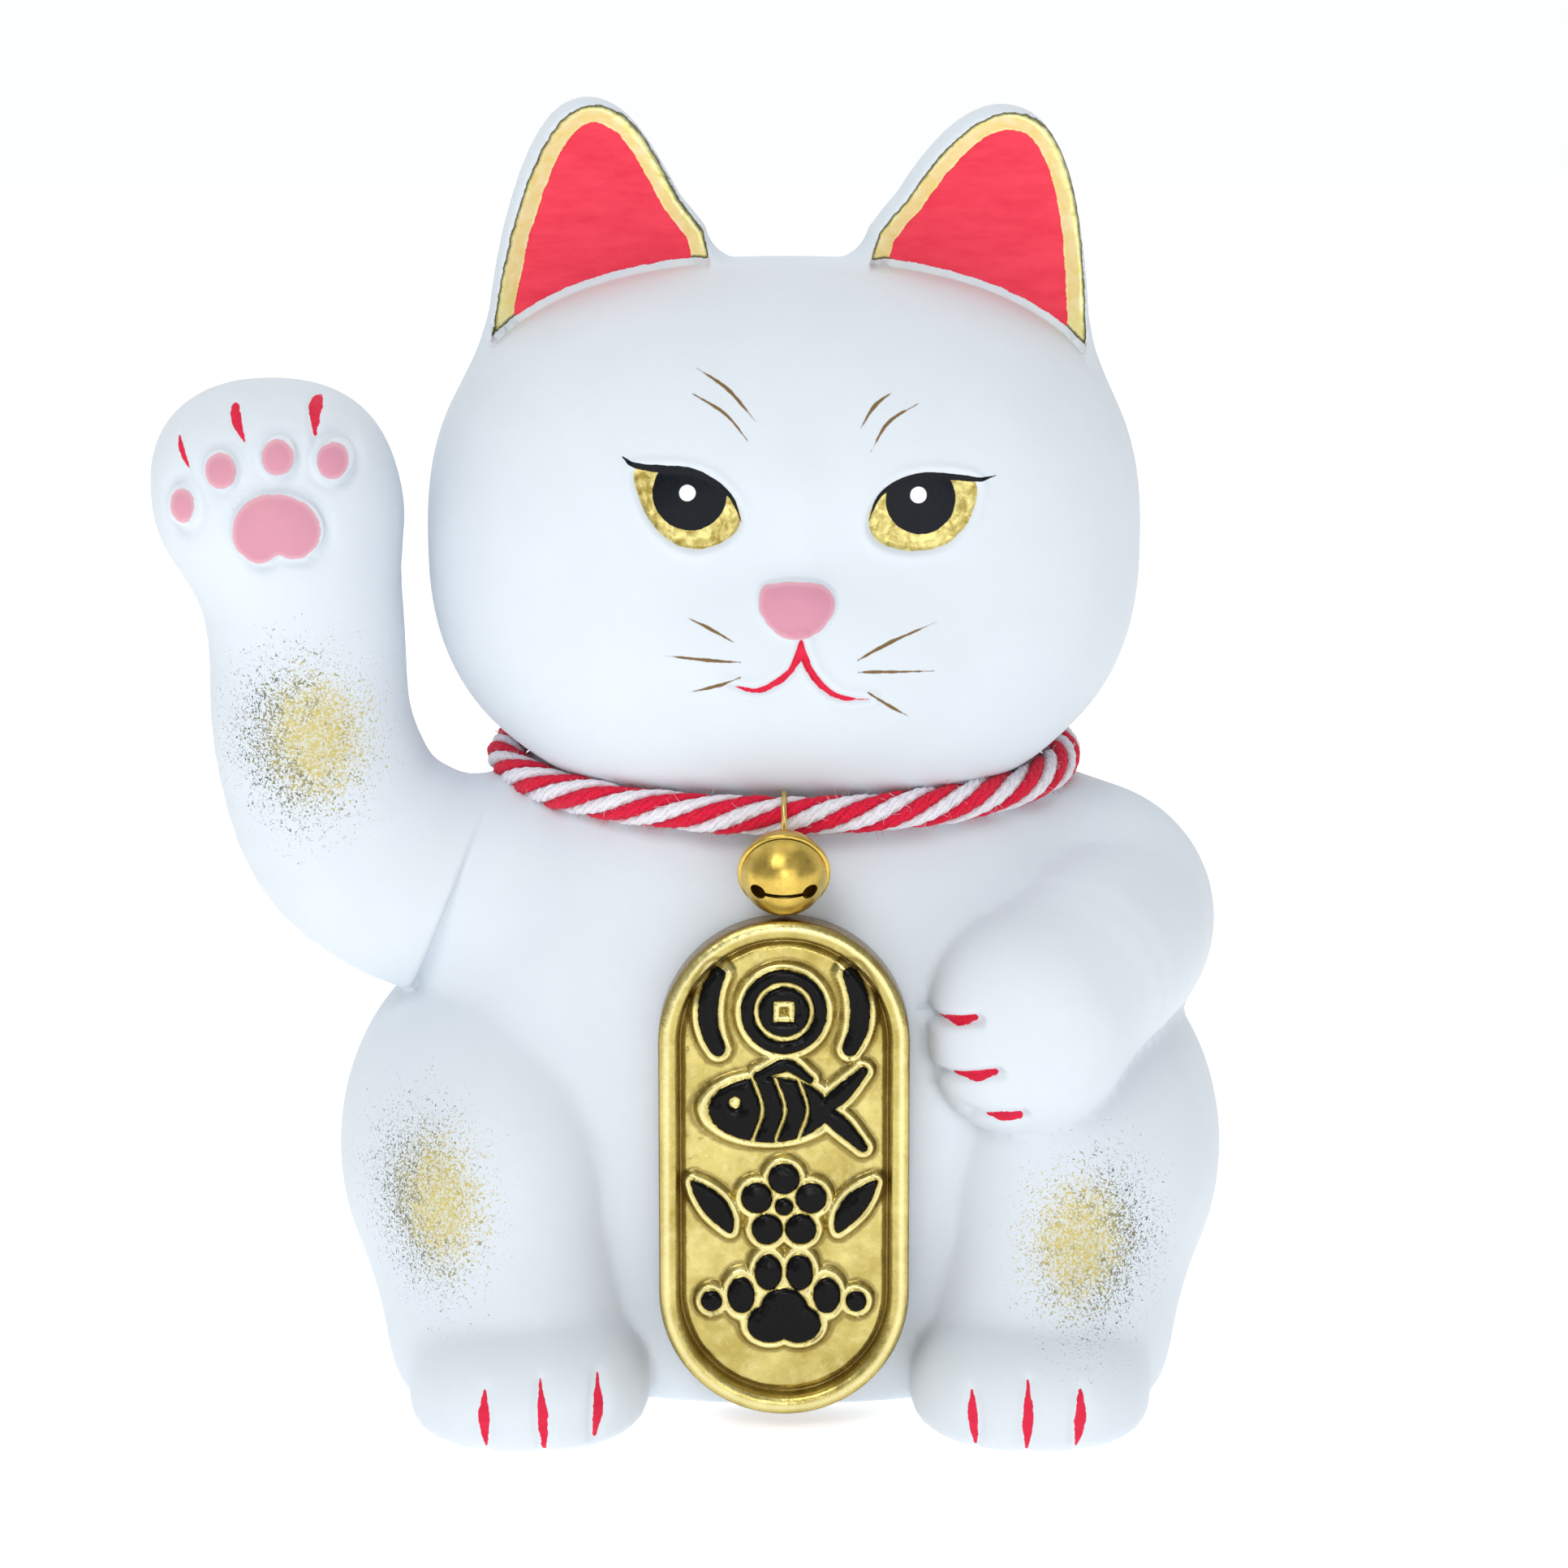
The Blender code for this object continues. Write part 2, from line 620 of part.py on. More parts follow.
def make_bell(parts, cutters):
    """The bell's pieces hang from an empty at the eye, and each is made round its own centre."""
    hang = bpy.data.objects.new("bell_hang", None)
    parts.objects.link(hang)
    hang.matrix_world = bell_frame()
    pellet_drop = BELL_CENTRE_DROP + BELL_RADIUS - BELL_WALL - PELLET_RADIUS - GAP
    for obj, drop, material in (
        (make_upper_shell(parts), BELL_CENTRE_DROP, "bell_brass"),
        (make_lower_shell(parts, cutters), BELL_CENTRE_DROP, "bell_brass"),
        (make_bell_eye(parts, cutters), 0, "wire_brass"),
        (make_pellet(parts), pellet_drop, "pellet_steel"),
    ):
        obj.parent = hang
        obj.location = (0, 0, -drop)
        part(obj, material)


def main():
    clear_scene()
    parts = new_collection("beckoning_cat_figurine")
    cutters = new_collection("cutters")
    make_body(parts, cutters, make_cord_space(cutters))
    make_raised_arm(parts, cutters)
    make_plaque(parts, cutters)
    make_cord(parts)
    make_knot(parts, cutters)
    make_bell_ring(parts)
    make_bell(parts, cutters)


main()
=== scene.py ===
"""Looks of the beckoning cat figurine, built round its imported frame. The cat faces -Y and raises the
paw at -X. Objects are in metres, +Z up; the sculpted forms and the paint are worked out in mm."""

import math

import bmesh
import bpy
import numpy as np
import openvdb
from mathutils import Matrix, Vector


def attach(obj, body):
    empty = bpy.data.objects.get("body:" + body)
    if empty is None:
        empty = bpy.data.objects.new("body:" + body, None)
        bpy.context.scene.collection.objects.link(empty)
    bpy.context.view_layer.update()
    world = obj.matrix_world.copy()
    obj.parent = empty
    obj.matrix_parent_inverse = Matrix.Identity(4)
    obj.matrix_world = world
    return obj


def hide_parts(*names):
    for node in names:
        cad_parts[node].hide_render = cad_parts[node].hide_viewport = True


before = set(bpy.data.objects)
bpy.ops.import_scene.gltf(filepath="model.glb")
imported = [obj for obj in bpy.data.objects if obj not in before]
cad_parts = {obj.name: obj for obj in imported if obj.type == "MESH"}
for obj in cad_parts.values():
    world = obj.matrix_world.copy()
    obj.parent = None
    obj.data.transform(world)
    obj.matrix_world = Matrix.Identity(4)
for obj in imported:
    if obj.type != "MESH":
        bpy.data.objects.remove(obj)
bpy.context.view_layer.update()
MM = 0.001

# Camera
CAMERA_PLACE = (0, -1.0, 0.35)
CAMERA_PITCH = math.radians(12.6)
CAMERA_LENS = 103.5

# Forms of the ceramic, in mm: centre, radii, squareness
HEAD = ((0, 0, 185), (79.5, 62, 60.5), 2.5)
MUZZLE = ((3, -47, 164), (27, 16, 16), 2.0)
TRUNK = ((0, 2, 64), (86, 66, 84), 2.4)
BELLY = ((0, -22, 40), (56, 43.5, 75), 2.6)
CHIN = ((2, -30, 150), (50, 22, 18), 2.0)
TAIL = ((0, 66, 22), (15, 15, 13), 2.0)
THIGH = ((61, -12, 47), (39, 60, 46.5), 2.0)
SHIN = ((58.2, -36, 17), (30.4, 42, 38), 2.0)
FOOT = ((54.8, -60, 7), (26.4, 33, 18), 2.4)
LEGS_MIDDLE = -0.9  # the X of the plane that mirrors the thighs, shins and feet
SHOULDER = ((-66, -16, 107), (24.5, 24.3, 24.5), 2.0)
RESTING_SHOULDER = ((65.5, -6, 97), (32.2, 30.5, 31.5), 2.0)
RESTING_PAW = ((51.5, -58, 86), (21, 20, 23.5), 2.3)
RAISED_PAW = ((-112.5, -21, 199), (26, 25, 22.6), 2.3)

# Limbs: points of their middle lines, with the radius there
RESTING_ARM = ((66, -8, 96.5, 29.5), (71.5, -24, 97, 23), (66.5, -41, 96, 22), (57, -54, 88.5, 20))
RAISED_ARM = (
    (-66, -17, 105.5, 25), (-83, -17.5, 110, 25), (-97, -18, 121, 24.2),
    (-104.5, -19, 142, 22.3), (-105.6, -20, 166, 21.7), (-108, -21, 188, 23.4),
)

# Ears: outlines in the XZ plane, and their thickness
EAR_OUTLINES = (
    ((-66, 222), (-63.5, 246), (-58, 265.5), (-51.5, 277.3), (-44, 281.2), (-36.6, 279),
     (-30.4, 272.4), (-23, 259.8), (-16, 247), (-20, 210), (-60, 205)),
    ((67.5, 222), (66.2, 248), (62.6, 265.5), (56.8, 276), (49, 279.6), (41, 277.8),
     (33, 271.2), (25, 260.4), (17, 246), (22, 210), (61, 205)),
)
EAR_HALF_THICKNESS = 11
EAR_ROUNDING = 9
EAR_BASE, EAR_RISE, EAR_SCOOP_SHIFT = 222, 55, 1.7  # where the shift begins, and over what height
EAR_WHITE_EDGE = 1.3
EAR_GOLD_WIDTH = 3.9
EAR_RIM_Y, EAR_FACE_Y, EAR_PAINT_DEPTH = -7.6, -3.4, 5.4

# The crease where the raised arm meets the chest, and how it faces
ARM_CREASE_POINT = np.array((-64, 0, 133.0))
ARM_CREASE_NORMAL = np.array((0.925, 0, -0.379))

# Shoulder seat, where the raised arm is a piece of its own
SEAT_POINT = np.array((-76, -16, 109.0))
SEAT_NORMAL = np.array((-0.911, 0, 0.412))
SEAT_HEIGHT = 3.0

DRAIN_CENTRE = (0, 24)
DRAIN_RADIUS = 11
DRAIN_DEPTH = 40

# Mesh sizes, in mm. Each paint step halves edges near some paint, and the last only near thin paint
SKIN_VOXEL = 2.1
SKIN_LOW, SKIN_HIGH = (-143, -98, -6), (106, 86, 288)
PAINT_REACH = 5.0
PAINT_STEPS = ((4.2, False), (1.7, False), (0.6, True))
THIN_LAYERS = ("black", "red", "lines", "white", "pink", "eye_gold")

# Colours, linear
CERAMIC_WHITE = (0.735, 0.795, 0.85)
CERAMIC_SHADE = (0.70, 0.755, 0.81)
EYE_GOLD_LIGHT = (0.88, 0.78, 0.30)
EYE_GOLD_DARK = (0.40, 0.29, 0.06)
EAR_RED = (0.88, 0.055, 0.10)
EAR_RED_DARK = (0.80, 0.035, 0.075)
PLAQUE_GOLD_LIGHT = (0.66, 0.56, 0.20)
PLAQUE_GOLD_DARK = (0.42, 0.33, 0.085)
# Pale gold: the random mottle, and the painted highlights on the bead's crest and the ornaments' raised
# contours
PLAQUE_GOLD_PALE_AND_HIGHLIGHT = (0.92, 0.84, 0.44)
# Painted shade: deep brown in the groove inside the bead and round each ornament's foot
PLAQUE_GOLD_PAINTED_SHADE = (0.13, 0.075, 0.014)

# Twisted cord, in mm
CORD_HALF_WIDTH = 63.0
CORD_FRONT = np.array((0, -53, 131.3))
CORD_BACK = np.array((0, 54, 137.0))
CORD_STRANDS = 6
CORD_COLUMNS = 84
CORD_STEP = 0.7
CORD_PITCH = 44.0
STRAND_PLACE = 2.4
STRAND_RADIUS = 1.7
STRAND_UNEVENNESS = 0.28
STRAND_WAVE = 0.07
YARNS = 3
YARN_TWIST = 0.85
YARN_HEIGHT = 0.42
FIBRE_RADIUS, FIBRE_SIDES, FIBRE_JOINTS = 0.045, 3, 4
FIBRES_PER_ROW, FIBRE_LENGTHS = 8, (1.0, 3.2)
TIP_FIBRES, TIP_FIBRE_LENGTHS = 160, (2.0, 4.5)
BARE_HALF_WIDTH = 4.5  # no fibres where the bell's ring swings
KNOT_CENTRE = np.array((0, 57.0, 137))
KNOT_WRAP_RADIUS, KNOT_WRAP_REACH, KNOT_WRAP_SCALE = 4.6, 5.6, 0.86
KNOT_WRAP_TURN = 1.45 * math.pi
TAIL_LENGTH, TAIL_SCALE = 33.0, 0.92
TAIL_SPREAD, TAIL_SLOPE = math.radians(22), math.radians(30)

# Bell, in mm
RING_RADIUS, RING_WIRE = 5.3, 0.6
RING_CENTRE = np.array((0, -53.3, 130.9))
RING_EYE_ANGLE = math.radians(64)
BELL_RADIUS, BELL_WALL, BELL_BEAD, BELL_GAP, BELL_HOLE_RADIUS = 9.2, 0.6, 0.75, 0.3, 0.9
BELL_SLOT_WIDTH, BELL_SLOT_HALF_LENGTH, BELL_SLOT_END_RADIUS = 0.9, 5.5, 1.6
BELL_AXIS_BELOW_LEVEL = math.radians(20)
EYE_RADIUS, EYE_WIRE = 2.0, 0.45
EYE_HEAD_RADIUS, EYE_HEAD_GAP = 1.6, 0.5
PELLET_RADIUS = 2.2
BELL_BRASS, WIRE_BRASS, BRASS_ROUGHNESS = (0.78, 0.55, 0.12), (0.80, 0.60, 0.20), 0.24

# Plaque, in mm, in its own frame: the origin is the front of its lowest point, and +Y runs into it
PLAQUE_HALF_WIDTH, PLAQUE_HEIGHT, PLAQUE_THICKNESS = 27.0, 109.0, 9.5
PLAQUE_BOTTOM = (0, -77, 3.5)
PLAQUE_LEAN = math.radians(3.5)
PLAQUE_WALLS = (
    # depth behind the front, inset from the edge
    (PLAQUE_THICKNESS, 1.2), (PLAQUE_THICKNESS - 0.3, 0.4), (PLAQUE_THICKNESS - 1.2, 0.0),
    (5.0, 0.0), (2.4, 0.0), (1.7, 0.1),
)
BEAD_INSET, BEAD_HALF_WIDTH, BEAD_HEIGHT = 2.1, 2.35, 2.0
FIELD_DEPTH, FIELD_INSET, GROOVE_DEPTH = 2.7, 4.7, 0.9
DIMPLES, DIMPLE_SIZES, DIMPLE_DEPTHS = 620, (1.2, 2.2), (0.05, 0.16)
CONTOUR_HEIGHT, FACE_HEIGHT, FACE_DOME, FACE_LINE_DEPTH = 1.35, 0.45, 0.55, 0.25
MOTIF_SCALE, MOTIF_LOWEST, MOTIF_PITCH = 1.1, 24.8, 21.4
PLAQUE_SIDE_STEPS, PLAQUE_END_STEPS = 150, 70
PLAQUE_BEAD_END, PLAQUE_BEAD_RINGS, PLAQUE_RINGS = 4.8, 26, 82

# Studio
WORLD_LEVELS = (-0.1, 0.8, 0.38, 1.0)  # how far forward or back, and the light from there
WORLD_COLOUR = (0.985, 0.993, 1.0, 1)
FLOOR_HALF_SIZE = 3.0
LIGHTS = (
    # name, place, aim, size, power
    ("key_light", (-0.5, -1.3, 1.45), (0, 0, 0.14), (0.9, 0.9), 10.5),
    ("fill_light", (0.35, -1.5, 0.35), (0, 0, 0.1), (1.0, 0.6), 2.4),
    ("catch_light", (0.02, -1.35, 0.42), (0, 0, 0.12), (0.3, 0.3), 0.9),
    ("top_light", (0, 0.2, 1.8), (0, 0, 0.1), (1.6, 1.6), 6),
)


# Distances to forms, for points in the rows of an array


def ball(p, centre, radii, power=2.0):
    """Nearly the signed distance to a superellipsoid: power 2 is an ellipsoid, a higher one squarer."""
    radii = np.array(radii, float)
    q = np.abs((p - np.array(centre)) / radii) + 1e-6
    size = (q**power).sum(1) ** (1 / power)
    slope = np.sqrt((((q / size[:, None]) ** (power - 1) / radii) ** 2).sum(1))
    return (size - 1) / slope


def segment_share(p, start, end):
    """How far along a segment each point's nearest place is, and the distance to it."""
    along = end - start
    share = np.clip(((p - start) @ along) / (along @ along), 0, 1)
    return share, np.linalg.norm(p - start - share[:, None] * along, axis=1)


def limb(p, line):
    """The distance to a tube round a smooth middle line, whose points are (x, y, z, radius)."""
    skin = np.full(len(p), np.inf)
    curve = curve_through(line, steps=4)
    for a, b in zip(curve, curve[1:]):
        share, distance = segment_share(p, a[:3], b[:3])
        skin = np.minimum(skin, distance - a[3] - (b[3] - a[3]) * share)
    return skin


def join(a, b, blend):
    """The nearer of two distances, with a fillet between the forms."""
    share = np.clip(0.5 + 0.5 * (b - a) / blend, 0, 1)
    return b + (a - b) * share - blend * share * (1 - share)


def carve(a, b, blend):
    """Form a without form b, with a rounded edge."""
    return -join(-a, b, blend)


def smoothstep(low, high, value):
    share = np.clip((value - low) / (high - low), 0, 1)
    return share * share * (3 - 2 * share)


def bell_curve(value, middle, width):
    return np.exp(-(((value - middle) / width) ** 2))


# Outlines and strokes in the XZ plane


def curve_through(points, closed=False, steps=6):
    """A smooth curve through some points. Each column is a value that varies along it."""
    points = np.array(points, float)
    if not closed:
        first, last = 2 * points[0] - points[1], 2 * points[-1] - points[-2]
        points = np.vstack((first, points, last))
    before, after, beyond = (np.roll(points, shift, axis=0) for shift in (1, -1, -2))
    share = np.linspace(0, 1, steps, endpoint=False)[:, None, None]
    curve = points + 0.5 * (
        (after - before) * share
        + (2 * before - 5 * points + 4 * after - beyond) * share**2
        + (3 * points - before - 3 * after + beyond) * share**3
    )
    spans = curve.transpose(1, 0, 2)
    if closed:
        return spans.reshape(-1, points.shape[1])
    return np.vstack((spans[1:-2].reshape(-1, points.shape[1]), points[-2]))


def outline_distance(x, z, outline):
    """The signed distance to a closed outline, negative inside."""
    distance = np.full(x.shape, np.inf)
    inside = np.zeros(x.shape, bool)
    for (ax, az), (bx, bz) in zip(outline, np.roll(outline, -1, axis=0)):
        ex, ez = bx - ax, bz - az
        share = np.clip(((x - ax) * ex + (z - az) * ez) / (ex * ex + ez * ez), 0, 1)
        distance = np.minimum(distance, np.hypot(x - ax - ex * share, z - az - ez * share))
        if ez:
            inside ^= ((az > z) != (bz > z)) & (x < ax + ex * (z - az) / ez)
    return np.where(inside, -distance, distance)


def stroke_distance(x, z, stroke):
    """The signed distance to a brush stroke, whose points are (x, z, width)."""
    distance = np.full(x.shape, np.inf)
    for (ax, az, a_width), (bx, bz, b_width) in zip(stroke, stroke[1:]):
        ex, ez = bx - ax, bz - az
        share = np.clip(((x - ax) * ex + (z - az) * ez) / (ex * ex + ez * ez), 0, 1)
        half_width = (a_width + (b_width - a_width) * share) / 2
        away = np.hypot(x - ax - ex * share, z - az - ez * share)
        distance = np.minimum(distance, away - half_width)
    return distance


def near_shape(p, points, measure):
    """A shape's distance where a point is near it, and the paint's reach elsewhere."""
    low, high = points[:, :2].min(0) - PAINT_REACH, points[:, :2].max(0) + PAINT_REACH
    x, z = p[:, 0], p[:, 2]
    near = (x > low[0]) & (x < high[0]) & (z > low[1]) & (z < high[1])
    distance = np.full(len(p), PAINT_REACH)
    distance[near] = np.minimum(measure(x[near], z[near], points), PAINT_REACH)
    return distance


def least(distances):
    return np.minimum.reduce(list(distances))


def outline_on(p, outline):
    return near_shape(p, curve_through(outline, closed=True), outline_distance)


def strokes_on(p, strokes):
    return least(near_shape(p, curve_through(stroke), stroke_distance) for stroke in strokes)


# Painted and moulded details of the face, paws and feet, in the XZ plane


EYES = (
    # opening, pupil centre, pupil radius, light centre
    (((-31.6, 207), (-27, 207.6), (-22, 207.6), (-16.5, 206.4), (-11.6, 202.6), (-9.2, 198),
      (-10.2, 194.4), (-14, 191.6), (-19, 190.5), (-24, 192.2), (-28, 196), (-30.6, 201.3)),
     (-19.9, 202.3), 7.9, (-20.4, 202.4)),
    (((40.4, 204.4), (35.5, 206), (30, 206.4), (24.5, 205.3), (20.2, 202.2), (18, 197.8),
      (18.6, 193.6), (22.4, 190.9), (28.8, 190), (34.3, 191.4), (38.7, 195.4), (40.6, 200.2)),
     (28.9, 200.8), 7.4, (28.4, 201.8)),
)
LIGHT_RADIUS = 1.75
EYE_SOCKETS = ((-16, 192), (23.5, 191))
LASHES = (
    ((-34.2, 209.8, 0.2), (-31.6, 208.2, 1.2), (-27, 207.5, 1.7), (-20, 207.2, 1.5),
     (-14.8, 205, 1.2), (-11, 201.4, 0.9), (-9, 196.4, 0.2)),
    ((44.9, 205.4, 0.2), (41.5, 204.8, 0.9), (37.5, 205.2, 1.4), (30, 206, 1.4),
     (24.2, 204.7, 1.2), (20, 201.6, 0.9), (17.9, 196.4, 0.2)),
)
NOSE = ((-4.6, 183), (-1, 184.3), (3, 184.6), (7.4, 184), (10, 182.2), (10.7, 179),
        (9, 175.4), (6, 173), (2.8, 172.2), (-0.6, 173), (-3.6, 175.4), (-5.3, 179))
MOUTH = (
    ((3.6, 171.8, 0.9), (3.0, 168.6, 1.5), (1.2, 165.4, 1.4), (-2.2, 162.6, 1.4),
     (-6.2, 161.1, 1.0), (-11.8, 162.3, 0.1)),
    ((3.6, 171.8, 0.9), (4.3, 168.4, 1.5), (6.2, 164.6, 1.4), (9.4, 161, 1.4),
     (13, 159.3, 1.0), (18.2, 158.9, 0.1)),
)
WHISKERS = (
    ((-20.4, 176.2, 0.1), (-15.5, 174, 0.75), (-10.6, 171.4, 0.1)),
    ((-25.4, 167.9, 0.1), (-16, 167.4, 0.75), (-9.2, 167.2, 0.2)),
    ((-20.4, 160, 0.1), (-14.5, 161.8, 0.75), (-9.2, 164, 0.2)),
    ((15.6, 167.6, 0.3), (22, 170.9, 0.75), (32.6, 175, 0.1)),
    ((15.6, 165, 0.2), (20, 164.9, 0.7), (32, 164.3, 0.1)),
    ((17.8, 160.6, 0.3), (22.6, 157, 0.75), (26.4, 154.5, 0.1)),
)
BROWS = (
    ((-18.6, 227.8, 0.1), (-11.8, 223.6, 0.8), (-6, 217.4, 0.1)),
    ((-19.4, 222.8, 0.1), (-12.4, 218.8, 0.7), (-7.4, 213.2, 0.1)),
    ((23, 223, 0.1), (19.2, 220.4, 0.8), (16.2, 216, 0.1)),
    ((28.4, 220.6, 0.1), (22, 217, 0.7), (18.2, 211, 0.1)),
)
MAIN_PAD = ((-108.4, 200.6), (-112.8, 199.8), (-116.6, 196.6), (-117.8, 192.6), (-117, 188.6),
            (-113.6, 185.8), (-110.6, 186), (-108.2, 187.4), (-105.8, 186.6), (-102.6, 187),
            (-99.8, 189.6), (-99, 193.4), (-100.8, 197.4), (-104.2, 199.8))
TOE_PADS = (
    # centre, half width, half height
    ((-129, 197.4), 2.6, 3.9), ((-120.2, 205.3), 3.4, 3.8),
    ((-108, 208.2), 3.4, 3.8), ((-96.6, 207), 3.4, 3.9),
)
RAISED_CLAWS = (
    ((-130.2, 211.4, 0.4), (-129.4, 208.6, 1.4), (-127.6, 205.2, 0.3)),
    ((-118, 217.4, 1.9), (-117.5, 215.4, 2.2), (-115.4, 211, 0.3)),
    ((-101, 217.8, 2.8), (-100.9, 215.6, 2.3), (-100.6, 212, 0.4)),
)
RESTING_CLAWS = (
    ((33.6, 90.6, 0.6), (37, 90.9, 2.2), (40.6, 92, 1.8)),
    ((36.8, 78.9, 0.6), (41, 79.2, 2.2), (45, 80.4, 1.4)),
    ((43.8, 69.6, 0.6), (47.2, 69.4, 2.0), (50.4, 70, 1.6)),
)
FOOT_CLAWS = (
    ((-63.8, 14, 0.5), (-64, 8.4, 2.5), (-63.6, 2, 0.6)),
    ((-52, 16.2, 0.4), (-51.4, 8.6, 2.2), (-51.2, 1.4, 0.8)),
    ((-40, 15.8, 0.5), (-39.8, 9, 2.2), (-40.6, 3.2, 0.6)),
    ((40.2, 13.2, 0.6), (40.4, 7.6, 2.2), (41, 1.8, 0.5)),
    ((52, 16, 0.4), (52, 8, 2.4), (51.8, 1.2, 0.5)),
    ((63.2, 13.8, 0.8), (63.2, 8, 2.6), (62.4, 1.8, 0.5)),
)
TOE_GROOVES = (
    ((29, 89.8, 1), (34, 90.4, 1), (41, 92, 1)),
    ((33, 78, 1), (38, 78.8, 1), (45.5, 80.6, 1)),
    ((40, 69.4, 1), (45, 69.3, 1), (51, 70.2, 1)),
)
# How far they stand out or go in, in mm
EYE_DEPTH, EYELID_HEIGHT, SOCKET_DEPTH = 1.1, 0.5, 1.9
NOSE_HEIGHT, NOSE_DOME, BRIDGE_HEIGHT = 1.5, 1.3, 1.7
MOUTH_DEPTH, LIP_HEIGHT = 0.6, 0.5
PAD_HEIGHT, PAD_DOME, PAD_GROOVE = 1.7, 1.3, 0.7
CLAW_DEPTH, TOE_GROOVE_DEPTH, FOOT_GROOVE_DEPTH = 0.5, 2.2, 0.8

SPECKLES = (
    # middle, half width, half height
    ((-104.5, 145.5), 20, 23.5), ((-76.5, 48.5), 17, 24), ((66, 41), 18.5, 22.5),
)


# The figurine's skin


def mirror_x(p):
    """Points on the cat's right side moved to its left, since its legs are a pair."""
    return np.column_stack((np.abs(p[:, 0] - LEGS_MIDDLE), p[:, 1], p[:, 2]))


def ear_shifted(p):
    """X as the ear's painted scoop sees it: towards the tip, the scoop lies a little to the right."""
    return p[:, 0] - EAR_SCOOP_SHIFT * np.clip((p[:, 2] - EAR_BASE) / EAR_RISE, 0, 1)


def ear_distances(p, outline):
    """An ear's whole form, and the scoop in its front."""
    shape = curve_through(outline, closed=True, steps=3)
    sides = outline_distance(p[:, 0], p[:, 2], shape) + EAR_ROUNDING
    faces = np.abs(p[:, 1]) - EAR_HALF_THICKNESS + EAR_ROUNDING
    outer = np.hypot(np.maximum(sides, 0), np.maximum(faces, 0))
    whole = outer + np.minimum(np.maximum(sides, faces), 0) - EAR_ROUNDING
    flat = outline_distance(ear_shifted(p), p[:, 2], shape)
    bevel = np.clip((-EAR_WHITE_EDGE - flat) / EAR_GOLD_WIDTH, 0, 1)
    floor = EAR_RIM_Y + (EAR_FACE_Y - EAR_RIM_Y) * bevel
    return whole, np.maximum(p[:, 1] - floor, flat + EAR_WHITE_EDGE)


def head_distance(p):
    head = join(join(ball(p, *HEAD), ball(p, *CHIN), 14), ball(p, *MUZZLE), 14)
    skin = head
    for outline in EAR_OUTLINES:
        box = np.array(outline)
        near = (p[:, 2] > 195) & (np.abs(p[:, 0] - box[:, 0].mean()) < 45)
        whole, scoop = ear_distances(p[near], outline)
        filleted = carve(join(skin[near], whole, 8), scoop, 0.8)
        skin = skin.copy()
        skin[near] = np.minimum(filleted, head[near])
    return skin


def body_distance(p):
    side = mirror_x(p)
    leg = join(join(ball(side, *THIGH), ball(side, *SHIN), 8), ball(side, *FOOT), 3)
    trunk = join(join(ball(p, *TRUNK), ball(p, *BELLY), 6), ball(p, *TAIL), 8)
    resting = join(limb(p, RESTING_ARM), ball(p, *RESTING_PAW), 8)
    upper = join(join(trunk, ball(p, *SHOULDER), 10), ball(p, *RESTING_SHOULDER), 9)
    body = join(join(upper, leg, 2.5), resting, 2)
    return join(body, head_distance(p), 3)


def plaque_space(p):
    """The shallow land in the belly that the plaque stands in."""
    slope = math.tan(PLAQUE_LEAN)
    front = PLAQUE_BOTTOM[1] + (p[:, 2] - PLAQUE_BOTTOM[2]) * slope
    low = PLAQUE_BOTTOM[2] + PLAQUE_HALF_WIDTH
    high = PLAQUE_BOTTOM[2] + PLAQUE_HEIGHT - PLAQUE_HALF_WIDTH
    oval = np.hypot(p[:, 0], p[:, 2] - np.clip(p[:, 2], low, high)) - PLAQUE_HALF_WIDTH
    return np.maximum(oval, p[:, 1] - front - PLAQUE_THICKNESS) - 0.3


def across_crease(p):
    return (p - ARM_CREASE_POINT) @ ARM_CREASE_NORMAL


def arm_distance(p):
    arm = join(limb(p, RAISED_ARM), ball(p, *RAISED_PAW), 10)
    return carve(arm, -across_crease(p), 1.2)


def skin_distance(p):
    whole = carve(join(body_distance(p), arm_distance(p), 1.5), plaque_space(p), 0.6)
    drain = np.hypot(p[:, 0] - DRAIN_CENTRE[0], p[:, 1] - DRAIN_CENTRE[1]) - DRAIN_RADIUS
    whole = carve(whole, np.maximum(drain, p[:, 2] - DRAIN_DEPTH), 1)
    return carve(whole, p[:, 2], 3)


# Meshes from distances


def gradient(distance, p):
    step = 0.05
    here = distance(p)
    slopes = [distance(p + step * axis) - here for axis in np.eye(3)]
    return here, np.column_stack(slopes) / step


def onto_surface(distance, p, rounds=3):
    for _ in range(rounds):
        here, slope = gradient(distance, p)
        size = np.maximum((slope**2).sum(1), 0.2)
        p = p - slope * np.clip(here / size, -2, 2)[:, None]
    return p


def skin_of(distance, low, high, voxel):
    """Points and quads of the surface where a distance is zero, inside a box."""
    block = 8
    low, high = np.array(low, float), np.array(high, float)
    counts = np.ceil((high - low) / voxel / block).astype(int)
    corners = np.stack(np.meshgrid(*(np.arange(n) for n in counts), indexing="ij"), -1)
    corners = corners.reshape(-1, 3) * block
    middles = distance(low + (corners + block / 2) * voxel)
    values = np.empty(counts * block, np.float32)
    for corner, middle in zip(corners, middles):
        i, j, k = corner
        cells = values[i:i + block, j:j + block, k:k + block]
        if abs(middle) > block * voxel * 1.3:
            cells[:] = math.copysign(4 * voxel, middle)
        else:
            cells[:] = np.nan
    unknown = np.argwhere(np.isnan(values))
    for part in np.array_split(unknown, max(1, len(unknown) // 200000)):
        values[tuple(part.T)] = distance(low + part * voxel)
    grid = openvdb.FloatGrid(4 * voxel)
    grid.copyFromArray(np.clip(values, -4 * voxel, 4 * voxel))
    points, quads = grid.convertToQuads(0.0)
    return low + points * voxel, quads


def linked(name, data):
    """A new object in the scene."""
    obj = bpy.data.objects.new(name, data)
    bpy.context.scene.collection.objects.link(obj)
    return obj


